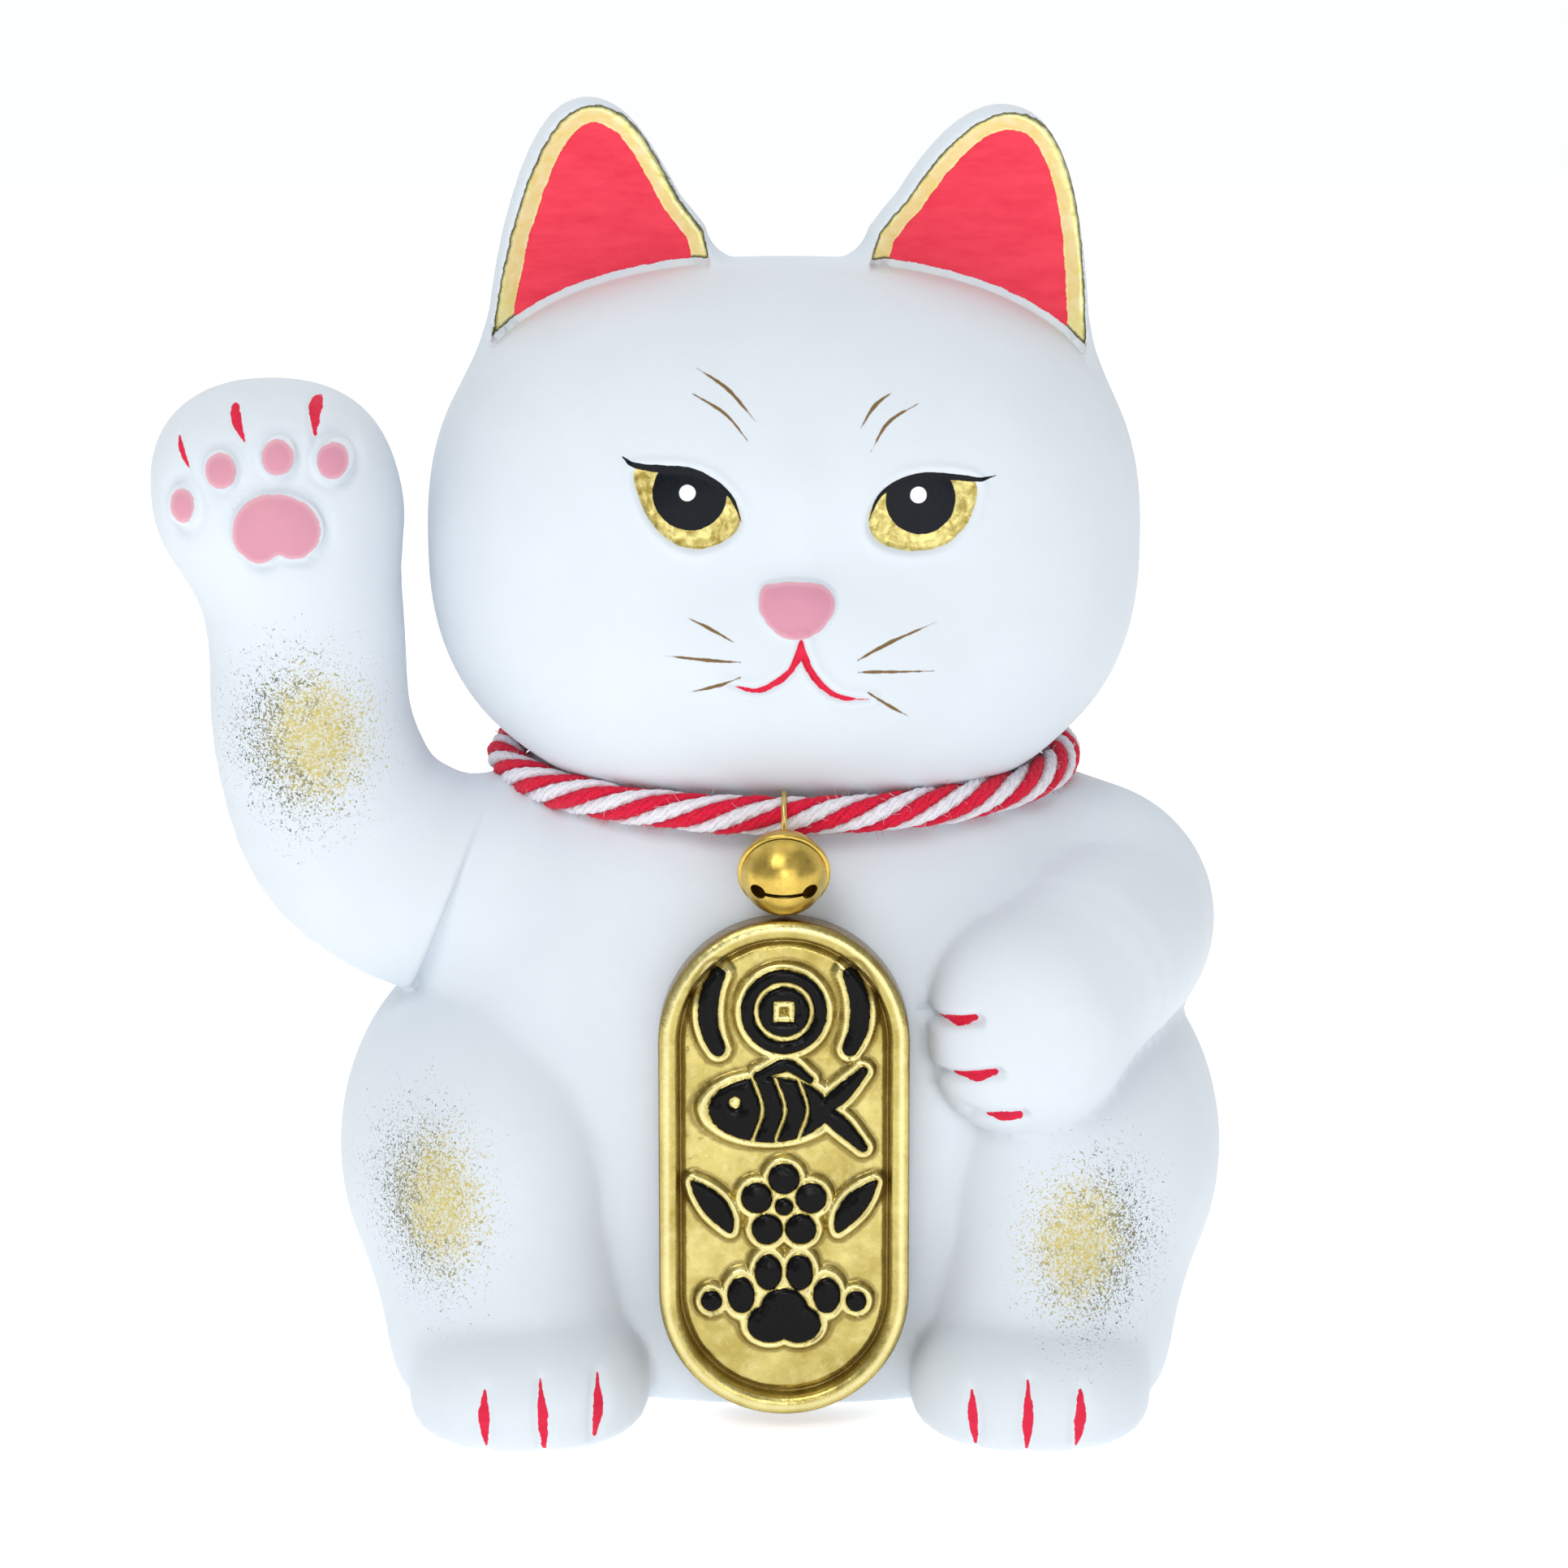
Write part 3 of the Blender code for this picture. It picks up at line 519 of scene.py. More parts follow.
def mesh_object(name, points, faces):
    """An object whose points are given in mm."""
    mesh = bpy.data.meshes.new(name)
    faces = faces.tolist() if isinstance(faces, np.ndarray) else faces
    mesh.from_pydata((np.asarray(points) * MM).tolist(), [], faces)
    mesh.shade_smooth()
    return linked(name, mesh)


def object_from(name, bm):
    mesh = bpy.data.meshes.new(name)
    bm.to_mesh(mesh)
    bm.free()
    mesh.shade_smooth()
    return linked(name, mesh)


def tube_faces(rows, columns, first=0):
    """Quads between neighbouring rings of points, and a face over each end."""
    ring = np.arange(columns)
    beside = (ring + 1) % columns
    start = first + (np.arange(rows - 1) * columns)[:, None]
    corners = (start + ring, start + beside, start + beside + columns, start + ring + columns)
    last = first + (rows - 1) * columns
    ends = [(first + ring[::-1]).tolist(), (last + ring).tolist()]
    return np.stack(corners, -1).reshape(-1, 4).tolist() + ends


def place_piece(obj, body, node, material):
    """Gives a piece its material and the body it rides on, and hides any CAD node it stands for."""
    obj.data.materials.clear()
    obj.data.materials.append(material)
    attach(obj, body)
    if node:
        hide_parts(node)


def points_of(obj):
    points = np.empty(len(obj.data.vertices) * 3)
    obj.data.vertices.foreach_get("co", points)
    return points.reshape(-1, 3) / MM


# Paint on the ceramic: each layer is a signed distance in mm, kept as an attribute


def disc_on(p, centre, half_width, half_height):
    x, z = p[:, 0] - centre[0], p[:, 2] - centre[1]
    size = np.hypot(x / half_width, z / half_height)
    return np.minimum((size - 1) * min(half_width, half_height), PAINT_REACH)


def pads_on(p):
    return least([disc_on(p, *pad) for pad in TOE_PADS] + [outline_on(p, MAIN_PAD)])


def ear_flats(p):
    return least(
        outline_distance(ear_shifted(p), p[:, 2], curve_through(outline, closed=True, steps=3))
        for outline in EAR_OUTLINES
    )


def paint_layers(p):
    """Distances to each colour's painted areas. The face and paws are painted from the front."""
    y = p[:, 1]
    behind = np.where(y > -24, PAINT_REACH, -PAINT_REACH)
    head = ball(p, *HEAD)
    flat = ear_flats(p)
    ear_front = np.maximum(y - EAR_RIM_Y - EAR_PAINT_DEPTH, 1.6 - head)
    ear_red = np.maximum(flat + EAR_WHITE_EDGE + EAR_GOLD_WIDTH, ear_front)
    ear_gold = np.maximum(flat + EAR_WHITE_EDGE, ear_front)
    eyes = least(outline_on(p, opening) for opening, *_ in EYES)
    pupils = least(disc_on(p, centre, radius, radius) for _, centre, radius, _ in EYES)
    black = np.minimum(np.maximum(pupils, eyes), strokes_on(p, LASHES))
    lights = least(disc_on(p, light, LIGHT_RADIUS, LIGHT_RADIUS) for *_, light in EYES)
    pink = np.minimum(pads_on(p), outline_on(p, NOSE))
    return {
        "ear_gold": ear_gold,
        "ear_red": ear_red,
        "eye_gold": np.maximum(eyes, behind),
        "pink": np.maximum(pink, behind),
        "red": np.maximum(strokes_on(p, RAISED_CLAWS + RESTING_CLAWS + FOOT_CLAWS + MOUTH), behind),
        "black": np.maximum(black, behind),
        "white": np.maximum(lights, behind),
        "lines": np.maximum(strokes_on(p, WHISKERS + BROWS), behind),
    }


def speckle_share(p):
    """How thick the sprayed gold is, and how dark its specks are."""
    thick = np.zeros(len(p))
    dark = np.zeros(len(p))
    for number, ((mx, mz), half_width, half_height) in enumerate(SPECKLES):
        x, z = (p[:, 0] - mx) / half_width, (p[:, 2] - mz) / half_height
        away = np.sqrt(x * x + z * z)
        share = smoothstep(1.3, 0.15, away) * (p[:, 1] < -14)
        outer = (-x if number < 2 else x) - 0.2 * z
        thick = np.maximum(thick, share)
        dark = np.where(share > 0, np.clip(0.6 * away + 0.46 * outer, 0, 1), dark)
    return thick, dark


def relief(p):
    """How far the moulded details stand out from the skin."""
    x, y, z = p.T
    front = smoothstep(-20, -26, y)
    eyes = least(outline_on(p, opening) for opening, *_ in EYES)
    height = -EYE_DEPTH * smoothstep(0.7, -1.0, eyes) + EYELID_HEIGHT * bell_curve(eyes, 1.4, 0.8)
    for middle_x, middle_z in EYE_SOCKETS:
        height -= SOCKET_DEPTH * np.exp(-(((x - middle_x) / 17) ** 2) - ((z - middle_z) / 12) ** 2)
    nose = outline_on(p, NOSE)
    height += NOSE_HEIGHT * smoothstep(0.9, -0.7, nose) + NOSE_DOME * smoothstep(0, -5, nose)
    bridge = bell_curve(x, 2.8, 6.5) * smoothstep(174, 184, z) * smoothstep(222, 198, z)
    height += BRIDGE_HEIGHT * bridge
    mouth = strokes_on(p, MOUTH)
    height += LIP_HEIGHT * bell_curve(mouth, 1.2, 1.0) - MOUTH_DEPTH * smoothstep(0.6, -0.5, mouth)
    pads = pads_on(p)
    height += PAD_HEIGHT * smoothstep(0.8, -0.1, pads)
    height += PAD_DOME * np.sqrt(np.clip(-pads / 4, 0, 1))
    height -= PAD_GROOVE * bell_curve(pads, 1.5, 0.9)
    height -= CLAW_DEPTH * smoothstep(1.4, -0.6, strokes_on(p, RAISED_CLAWS))
    grooves = strokes_on(p, TOE_GROOVES)
    on_paw = smoothstep(2.5, 0.5, ball(p, *RESTING_PAW))
    height -= TOE_GROOVE_DEPTH * bell_curve(np.maximum(grooves + 0.5, 0), 0, 1.3) * on_paw
    toes = np.maximum(strokes_on(p, FOOT_CLAWS), 0)
    height -= FOOT_GROOVE_DEPTH * bell_curve(toes, 0, 1.4) * (y < -60)
    return height * front


def store(obj, name, values):
    attribute = obj.data.attributes.new(name, "FLOAT", "POINT")
    attribute.data.foreach_set("value", np.asarray(values, np.float32))


def store_paint(obj):
    p = points_of(obj)
    for name, distance in paint_layers(p).items():
        store(obj, name, distance)
    thick, dark = speckle_share(p)
    store(obj, "speckle", thick)
    store(obj, "speckle_dark", dark)


def split_edges(values, triangles, choose):
    """A mesh with some edges split in two. choose(edges, sides) says how far along, or nan for not."""
    ends = np.sort(triangles[:, [[0, 1], [1, 2], [2, 0]]].reshape(-1, 2), axis=1)
    keys, sides = np.unique(ends[:, 0] * len(values) + ends[:, 1], return_inverse=True)
    edges = np.column_stack((keys // len(values), keys % len(values)))
    sides = sides.reshape(-1, 3)
    share = choose(edges, sides)
    split = ~np.isnan(share)
    a, b = edges[split].T
    made = values[a] + (values[b] - values[a]) * share[split, None]
    middle = np.full(len(edges), -1)
    middle[split] = len(values) + np.arange(len(made))
    middle = middle[sides]
    count = (middle >= 0).sum(1)
    first = np.where(count == 1, (middle >= 0).argmax(1), 0)
    first = np.where(count == 2, (middle < 0).argmax(1) + 1, first)
    turn = (first[:, None] + np.arange(3)) % 3
    a, b, c = np.take_along_axis(triangles, turn, 1).T
    ab, bc, ca = np.take_along_axis(middle, turn, 1).T
    patterns = (
        ((a, b, c),),
        ((a, ab, c), (ab, b, c)),
        ((ab, b, bc), (a, ab, c), (ab, bc, c)),
        ((a, ab, ca), (ab, b, bc), (ca, bc, c), (ab, bc, ca)),
    )
    pieces = [
        np.column_stack(triangle)[count == number]
        for number, pattern in enumerate(patterns)
        for triangle in pattern
    ]
    return np.vstack((values, made)), np.vstack(pieces)


def vertex_normals(points, triangles):
    a, b, c = (points[triangles[:, i]] for i in range(3))
    across = np.cross(b - a, c - a)
    normals = np.zeros_like(points)
    for i in range(3):
        for axis in range(3):
            normals[:, axis] += np.bincount(triangles[:, i], across[:, axis], len(points))
    return normals / np.linalg.norm(normals, axis=1)[:, None]


def make_skin():
    """Points and triangles of the whole ceramic, finer where the paint has an edge."""
    points, quads = skin_of(skin_distance, SKIN_LOW, SKIN_HIGH, SKIN_VOXEL)
    points = onto_surface(skin_distance, points)
    triangles = np.vstack((quads[:, [0, 1, 2]], quads[:, [0, 2, 3]])).astype(np.int64)
    for reach, thin_only in PAINT_STEPS[: None]:
        def near_paint(edges, sides):
            middles = points[triangles].mean(axis=1)
            layers = paint_layers(middles)
            names = THIN_LAYERS if thin_only else layers
            picked = least(np.abs(layers[name]) for name in names) < reach
            if not thin_only:
                picked |= np.hypot(across_crease(middles), arm_distance(middles)) < reach
            share = np.full(len(edges), np.nan)
            share[sides[picked]] = 0.5
            return share

        known = len(points)
        points, triangles = split_edges(points, triangles, near_paint)
        points[known:] = onto_surface(skin_distance, points[known:], 2)
    _, slope = gradient(skin_distance, points)
    slope /= np.linalg.norm(slope, axis=1)[:, None]
    return points + slope * relief(points)[:, None], triangles


def arm_nearer(p):
    return arm_distance(p) < head_distance(p)


def above_seat(p):
    return (p - SEAT_POINT) @ SEAT_NORMAL - SEAT_HEIGHT


def capped(triangles, hub):
    """Triangles with their open edges closed by a fan round one more point."""
    starts, ends = triangles[:, [0, 1, 2]].ravel(), triangles[:, [1, 2, 0]].ravel()
    count = triangles.max() + 1
    loose = ~np.isin(starts * count + ends, ends * count + starts)
    fan = np.column_stack((ends[loose], starts[loose], np.full(loose.sum(), hub)))
    return np.vstack((triangles, fan)), starts[loose]


def make_ceramic():
    """The body and the raised arm, cut apart flush at the shoulder seat and closed there."""
    points, triangles = make_skin()
    values = np.hstack((points, vertex_normals(points, triangles)))

    def across_seat(edges, sides):
        height = above_seat(points)
        a, b = height[edges].T
        crossing = a * b < 0
        middles = points[edges[crossing]].mean(axis=1)
        share = np.full(len(edges), np.nan)
        share[crossing] = np.where(arm_nearer(middles), a[crossing] / (a - b)[crossing], np.nan)
        return share

    values, triangles = split_edges(values, triangles, across_seat)
    middles = values[triangles, :3].mean(axis=1)
    on_arm = (above_seat(middles) > 0) & arm_nearer(middles)
    pieces = (
        ("ceramic_body", "body_casting", triangles[~on_arm]),
        ("ceramic_raised_arm", "raised_arm", triangles[on_arm]),
    )
    for name, node, faces in pieces:
        used, faces = np.unique(faces, return_inverse=True)
        faces, rim = capped(faces.reshape(-1, 3), len(used))
        own = values[used]
        own = np.vstack((own, own[rim].mean(axis=0)))
        obj = mesh_object(name, own[:, :3], faces)
        obj.data.normals_split_custom_set_from_vertices(own[:, 3:])
        store_paint(obj)
        place_piece(obj, "figurine", node, ceramic_material())


# Twisted cord


def frames_along(path):
    """Unit directions along a path, and two directions square to it that turn with it only."""
    ahead = np.gradient(path, axis=0)
    ahead /= np.linalg.norm(ahead, axis=1)[:, None]
    side = np.cross(ahead[0], (0, 0, 1.0))
    sides = []
    for direction in ahead:
        side = side - direction * (side @ direction)
        side = side / np.linalg.norm(side)
        sides.append(side)
    sides = np.array(sides)
    return ahead, sides, np.cross(ahead, sides)


def evenly(points, step):
    """A path through some points again, with points a step apart."""
    length = np.concatenate(((0,), np.cumsum(np.linalg.norm(np.diff(points, axis=0), axis=1))))
    places = np.linspace(0, length[-1], max(4, round(length[-1] / step)))
    return np.column_stack([np.interp(places, length, points[:, axis]) for axis in range(3)])


def strand_profile():
    """For one turn round the cord: which strand shows, its radius and the angle about its own middle."""
    per_strand = CORD_COLUMNS // CORD_STRANDS
    local = (np.arange(CORD_COLUMNS) % per_strand + 0.5) / per_strand - 0.5
    angle = local * 2 * math.pi / CORD_STRANDS
    reach = STRAND_PLACE * np.cos(angle)
    radius = reach + np.sqrt(STRAND_RADIUS**2 - (STRAND_PLACE * np.sin(angle)) ** 2)
    about = np.arctan2(radius * np.sin(angle), radius * np.cos(angle) - STRAND_PLACE)
    return np.arange(CORD_COLUMNS) // per_strand, radius, about


def add_cord(name, path, node=None, scale=1.0):
    """A cord of red and white strands along a path, as one closed skin with its yarns raised."""
    path = evenly(path, CORD_STEP * (1))
    ahead, side, other = frames_along(path)
    length = np.concatenate(((0,), np.cumsum(np.linalg.norm(np.diff(path, axis=0), axis=1))))
    strand, radius, about = strand_profile()
    columns = 2 * math.pi * np.arange(CORD_COLUMNS) / CORD_COLUMNS
    wave = STRAND_WAVE * np.sin(2 * length[:, None] + 2.1 * strand[None, :])
    turn = columns[None, :] - 2 * math.pi * length[:, None] / CORD_PITCH + wave
    yarn = YARNS * about[None, :] + YARN_TWIST * length[:, None] + 2.1 * strand[None, :]
    out = radius[None, :] + YARN_HEIGHT * (np.abs(np.sin(yarn)) ** 0.6 - 0.6)
    slow, slower = 0.31 * length[:, None], 0.117 * length[:, None]
    out = out + STRAND_UNEVENNESS * np.sin(slow + 2.4 * strand) * np.sin(slower + 1.3 * strand)
    ends = np.minimum(length, length[-1] - length)
    out = out * scale * (0.72 + 0.28 * smoothstep(0, 2.2, ends))[:, None]
    skin = (
        path[:, None, :]
        + (out * np.cos(turn))[:, :, None] * side[:, None, :]
        + (out * np.sin(turn))[:, :, None] * other[:, None, :]
    ).reshape(-1, 3)
    obj = mesh_object(name, skin, tube_faces(len(path), CORD_COLUMNS))
    store(obj, "red", np.tile(strand % 2 == 0, len(path)))
    # The yarn and valley values darken the cord's colour between yarns and between strands: painted
    # shade
    store(obj, "yarn", np.abs(np.sin(yarn)).ravel())
    store(obj, "valley", np.tile(STRAND_PLACE + STRAND_RADIUS - radius, len(path)))
    place_piece(obj, "figurine", node, cord_material())
    return obj, path, skin.reshape(-1, CORD_COLUMNS, 3)


def fibres_round(skin, rng):
    """Loose fibres all over a cord's skin: start, direction away, length, lean, and whether red."""
    strand, _, _ = strand_profile()
    rows = len(skin)
    middles = skin.mean(axis=1)
    fibres = []
    for _ in range(rows * FIBRES_PER_ROW):
        row, column = rng.integers(1, rows - 1), rng.integers(0, CORD_COLUMNS)
        start = skin[row, column]
        if start[1] < 0 and abs(start[0]) < BARE_HALF_WIDTH:
            continue
        away = start - middles[row]
        along = middles[row + 1] - middles[row - 1]
        length = rng.uniform(*FIBRE_LENGTHS)
        lean = rng.choice((-1, 1)) * along / np.linalg.norm(along) + rng.normal(0, 0.5, 3)
        fibres.append((start, away / np.linalg.norm(away), length, lean, strand[column] % 2 == 0))
    return fibres


def fibres_at(tip, hang, rng):
    """The brush of fibres at the end of a tail, with the same values for each."""
    fibres = []
    for _ in range(TIP_FIBRES):
        spread = rng.normal(0, 1, 3)
        spread -= hang * (spread @ hang)
        red = rng.random() < 0.5
        length = rng.uniform(*TIP_FIBRE_LENGTHS)
        fibres.append((tip + spread * 0.9, hang, length, hang * 1.5 + spread * 0.25, red))
    return fibres


def add_fuzz(name, fibres, rng):
    """Thin curled tubes, one for each loose fibre."""
    points, faces, reds = [], [], []
    angles = 2 * math.pi * np.arange(FIBRE_SIDES) / FIBRE_SIDES
    thickness = FIBRE_RADIUS * np.linspace(1, 0.4, FIBRE_JOINTS)
    for start, away, length, lean, red in fibres:
        curl = rng.normal(0, 0.35, 3)
        place, heading = start - away * 0.15, away * 0.45 + lean
        line = []
        for joint in range(FIBRE_JOINTS):
            line.append(place)
            heading = heading / np.linalg.norm(heading)
            place = place + heading * length / (FIBRE_JOINTS - 1)
            heading = heading + curl - away * 0.18 * joint
        _, side, other = frames_along(np.array(line))
        faces += tube_faces(FIBRE_JOINTS, FIBRE_SIDES, first=len(points))
        for middle, across, up, radius in zip(line, side, other, thickness):
            points += [middle + (across * math.cos(a) + up * math.sin(a)) * radius for a in angles]
        reds += [red] * FIBRE_JOINTS * FIBRE_SIDES
    obj = mesh_object(name, points, faces)
    store(obj, "red", reds)
    place_piece(obj, "figurine", None, fibre_material())


def cord_place(angle):
    share = (1 - np.cos(angle)) / 2
    middle = CORD_FRONT + (CORD_BACK - CORD_FRONT) * share[:, None]
    middle[:, 0] = CORD_HALF_WIDTH * np.sin(angle)
    return middle


def knot_wrap():
    """The path of the turn that closes the cord behind the neck."""
    turn = np.linspace(-KNOT_WRAP_TURN, KNOT_WRAP_TURN, 90)
    across = KNOT_WRAP_REACH * turn / turn[-1]
    around = KNOT_WRAP_RADIUS * np.sin(turn), KNOT_WRAP_RADIUS * np.cos(turn)
    return KNOT_CENTRE + np.column_stack((across, *around))


def tail_path(side):
    """The path of a tail, and the direction in which it hangs."""
    spread = TAIL_SPREAD * side
    hang = np.array((
        math.sin(-spread) * math.cos(TAIL_SLOPE),
        math.sin(TAIL_SLOPE),
        -math.cos(spread) * math.cos(TAIL_SLOPE),
    ))
    bow = np.array((1.5 * side, 1.2, 0))
    share = np.linspace(0, 1, 30)[:, None]
    return KNOT_CENTRE + hang * TAIL_LENGTH * share + bow * np.sin(math.pi * share), hang


def make_cord():
    rng = np.random.default_rng(7)
    round_neck = cord_place(np.linspace(-math.pi, math.pi, 241))
    loop, path, skin = add_cord("collar_rope", round_neck, node="collar_cord")
    skins = [skin]
    _, _, skin = add_cord("collar_knot_wrap", knot_wrap(), node="collar_knot", scale=KNOT_WRAP_SCALE)
    skins.append(skin)
    tips = []
    for side, word in ((-1, "left"), (1, "right")):
        tail, hang = tail_path(side)
        _, path, skin = add_cord(f"collar_tail_{word}", tail, scale=TAIL_SCALE)
        skins.append(skin)
        tips.append((path[-1], hang))
    fibres = []
    for skin in skins:
        fibres += fibres_round(skin, rng)
    for tip, hang in tips:
        fibres += fibres_at(tip, hang, rng)
    add_fuzz("collar_fuzz", fibres, rng)


# Bell, ring, eye and pellet


def turned(name, profile, place, steps, closed=False):
    """A solid of revolution about the local Z axis, from (radius, height) points in mm."""
    bm = bmesh.new()
    verts = [bm.verts.new((x * MM, 0, z * MM)) for x, z in profile]
    edges = [bm.edges.new(pair) for pair in zip(verts, verts[1:])]
    if closed:
        edges.append(bm.edges.new((verts[-1], verts[0])))
    bmesh.ops.spin(
        bm, geom=verts + edges, cent=(0, 0, 0), axis=(0, 0, 1), angle=2 * math.pi, steps=steps,
        use_merge=True,
    )
    bmesh.ops.remove_doubles(bm, verts=bm.verts, dist=1e-6)
    bmesh.ops.recalc_face_normals(bm, faces=bm.faces)
    bm.transform(place)
    return object_from(name, bm)


def arc(radius, start, end, steps, centre_x=0.0):
    """Points of an arc, none left of the axis."""
    angles = np.linspace(start, end, steps)
    return [(max(centre_x + radius * math.cos(a), 0), radius * math.sin(a)) for a in angles]


def wire_loop(name, radius, wire, place):
    """A round wire ring in the local XZ plane."""
    section = arc(wire, 0, 2 * math.pi, 21, centre_x=radius)[:-1]
    return turned(name, section, place @ Matrix.Rotation(math.pi / 2, 4, "X"), 96, closed=True)


def cut(obj, tool):
    """Cuts one object with another, which goes."""
    modifier = obj.modifiers.new("cut", "BOOLEAN")
    modifier.object = tool
    modifier.operation = "DIFFERENCE"
    modifier.solver = "EXACT"
    graph = bpy.context.evaluated_depsgraph_get()
    mesh = bpy.data.meshes.new_from_object(obj.evaluated_get(graph))
    obj.modifiers.remove(modifier)
    obj.data = mesh
    mesh.set_sharp_from_angle(angle=math.radians(35))
    bpy.data.objects.remove(tool)


def slot_tool(place):
    """The bell's sound slot: a narrow gap with a round hole at each end."""
    outline = []
    half, width, end = BELL_SLOT_HALF_LENGTH, BELL_SLOT_WIDTH / 2, BELL_SLOT_END_RADIUS
    opening = math.asin(width / end)
    for middle, turn in ((half, 0), (-half, math.pi)):
        for angle in np.linspace(opening - math.pi, math.pi - opening, 24):
            outline.append((middle + end * math.cos(angle + turn), end * math.sin(angle + turn)))
    bm = bmesh.new()
    loops = [
        [bm.verts.new((x * MM, y * MM, z * MM)) for x, y in outline]
        for z in (-BELL_RADIUS - 1, -BELL_RADIUS / 3)
    ]
    low, high = loops
    bm.faces.new(list(reversed(low)))
    bm.faces.new(high)
    for i in range(len(low)):
        j = (i + 1) % len(low)
        bm.faces.new((low[i], low[j], high[j], high[i]))
    bmesh.ops.recalc_face_normals(bm, faces=bm.faces)
    bm.transform(place)
    return object_from("slot_tool", bm)


def make_bell():
    out = Vector((0, -math.cos(RING_EYE_ANGLE), -math.sin(RING_EYE_ANGLE)))
    ring_centre = Vector(RING_CENTRE * MM)
    turn = Matrix.Rotation(BELL_AXIS_BELOW_LEVEL - math.pi / 2, 4, "X")
    hang = Matrix.Translation(ring_centre + out * RING_RADIUS * MM) @ turn
    drop = EYE_RADIUS + EYE_WIRE + BELL_GAP + BELL_RADIUS
    bell = hang @ Matrix.Translation((0, 0, -drop * MM))
    brass = brass_material("bell_brass", BELL_BRASS, BRASS_ROUGHNESS)
    wire = brass_material("wire_brass", WIRE_BRASS, BRASS_ROUGHNESS)

    inner, lip, hole = BELL_RADIUS - BELL_WALL, BELL_BEAD + BELL_GAP, BELL_HOLE_RADIUS
    profile = arc(BELL_RADIUS, math.acos(hole / BELL_RADIUS), math.asin(BELL_BEAD / BELL_RADIUS), 40)
    profile += arc(BELL_BEAD, math.radians(60), math.radians(-90), 14, centre_x=BELL_RADIUS)
    profile += arc(inner, math.asin(-BELL_BEAD / inner), math.acos(hole / inner), 30)
    upper = turned("bell_upper", profile, bell, 128, closed=True)
    place_piece(upper, "bell", "bell_upper_shell", brass)

    profile = arc(inner, -math.pi / 2, math.asin(-lip / inner), 30)
    profile += arc(BELL_RADIUS, math.asin(-lip / BELL_RADIUS), -math.pi / 2, 40)
    lower = turned("bell_lower", profile, bell, 128)
    cut(lower, slot_tool(bell))
    place_piece(lower, "bell", "bell_lower_shell", brass)

    ring_turn = Matrix.Translation(ring_centre) @ Matrix.Rotation(math.pi / 2, 4, "Z")
    ring = wire_loop("bell_hoop", RING_RADIUS, RING_WIRE, ring_turn)
    place_piece(ring, "ring", "bell_ring", wire)

    eye = wire_loop("bell_shank_loop", EYE_RADIUS, EYE_WIRE, hang)
    place_piece(eye, "bell", "bell_eye", wire)
    foot = -drop + BELL_RADIUS - BELL_WALL - EYE_HEAD_GAP
    profile = [(0.0, -EYE_RADIUS), (EYE_WIRE, -EYE_RADIUS - 0.05), (EYE_WIRE, foot + 0.2)]
    profile += [(EYE_HEAD_RADIUS, foot), (EYE_HEAD_RADIUS, foot - 0.5), (0.0, foot - 0.6)]
    shank = turned("bell_shank", profile, hang, 48)
    place_piece(shank, "bell", None, wire)

    low = -drop - BELL_RADIUS + BELL_WALL + PELLET_RADIUS + BELL_GAP
    profile = arc(PELLET_RADIUS, -math.pi / 2, math.pi / 2, 30)
    pellet = turned("bell_pellet_ball", profile, hang @ Matrix.Translation((0, 0, low * MM)), 48)
    place_piece(pellet, "pellet", "bell_pellet", steel_material())


# Plaque


def rings_of_oval():
    """Points of an oval's surface: rings that start at its edge and close in on its middle line."""
    side_steps, end_steps = PLAQUE_SIDE_STEPS, PLAQUE_END_STEPS
    low, high = PLAQUE_HALF_WIDTH, PLAQUE_HEIGHT - PLAQUE_HALF_WIDTH
    lift = np.linspace(low, high, side_steps, endpoint=False)
    angle = np.linspace(0, math.pi, end_steps, endpoint=False)
    right = np.column_stack((np.ones(side_steps), np.zeros(side_steps), lift))
    top = np.column_stack((np.cos(angle), np.sin(angle), np.full(end_steps, high)))
    left = np.column_stack((-np.ones(side_steps), np.zeros(side_steps), low + high - lift))
    bottom = np.column_stack((-np.cos(angle), -np.sin(angle), np.full(end_steps, low)))
    return np.vstack((right, top, left, bottom))


def oval_row(ring, inset, depth):
    """A ring of the plaque's surface: how far in from its edge, and how deep behind its front."""
    radius = PLAQUE_HALF_WIDTH - inset
    depths = np.full(len(ring), depth)
    return np.column_stack((ring[:, 0] * radius, depths, ring[:, 2] + ring[:, 1] * radius))


def disc(x, z, cx, cz, rx, rz=None):
    rz = rx if rz is None else rz
    return (np.hypot((x - cx) / rx, (z - cz) / rz) - 1) * min(rx, rz)


def bar(x, z, *stroke):
    return stroke_distance(x, z, curve_through(stroke, steps=12))


def coin_motif(x, z):
    hole = np.maximum(np.abs(x), np.abs(z)) - 2.2
    coin = np.maximum(disc(x, z, 0, 0, 8.2), -hole)
    ring = np.abs(disc(x, z, 0, 0, 5.4)) - 0.65
    angle = np.linspace(-0.52, 0.52, 7)
    bend = 14.8 * np.cos(angle), 14.8 * np.sin(angle), 3.6 - 3.4 * angle**2
    wings = [bar(x, z, *zip(s * bend[0], *bend[1:])) for s in (-1, 1)]
    return least([np.maximum(coin, -ring), *wings])


def fish_motif(x, z):
    body = np.maximum(disc(x, z, -3, 0, 11.5, 6.4), -disc(x, z, -9.6, 1.4, 1.3))
    gills = least(
        bar(x, z, (cx, 6, 1.1), (cx + 1.8, 0, 1.1), (cx, -6, 1.1)) for cx in (-6, -1.6, 2.8)
    )
    tail = [bar(x, z, (7, 0, 2.2), (11, s * 3, 3.2), (15.4, s * 7.6, 1.6)) for s in (-1, 1)]
    fin = bar(x, z, (-5, 6.6, 1.6), (0.5, 8.8, 2.2), (5, 6, 1.2))
    return least([np.maximum(body, -gills), fin, *tail])


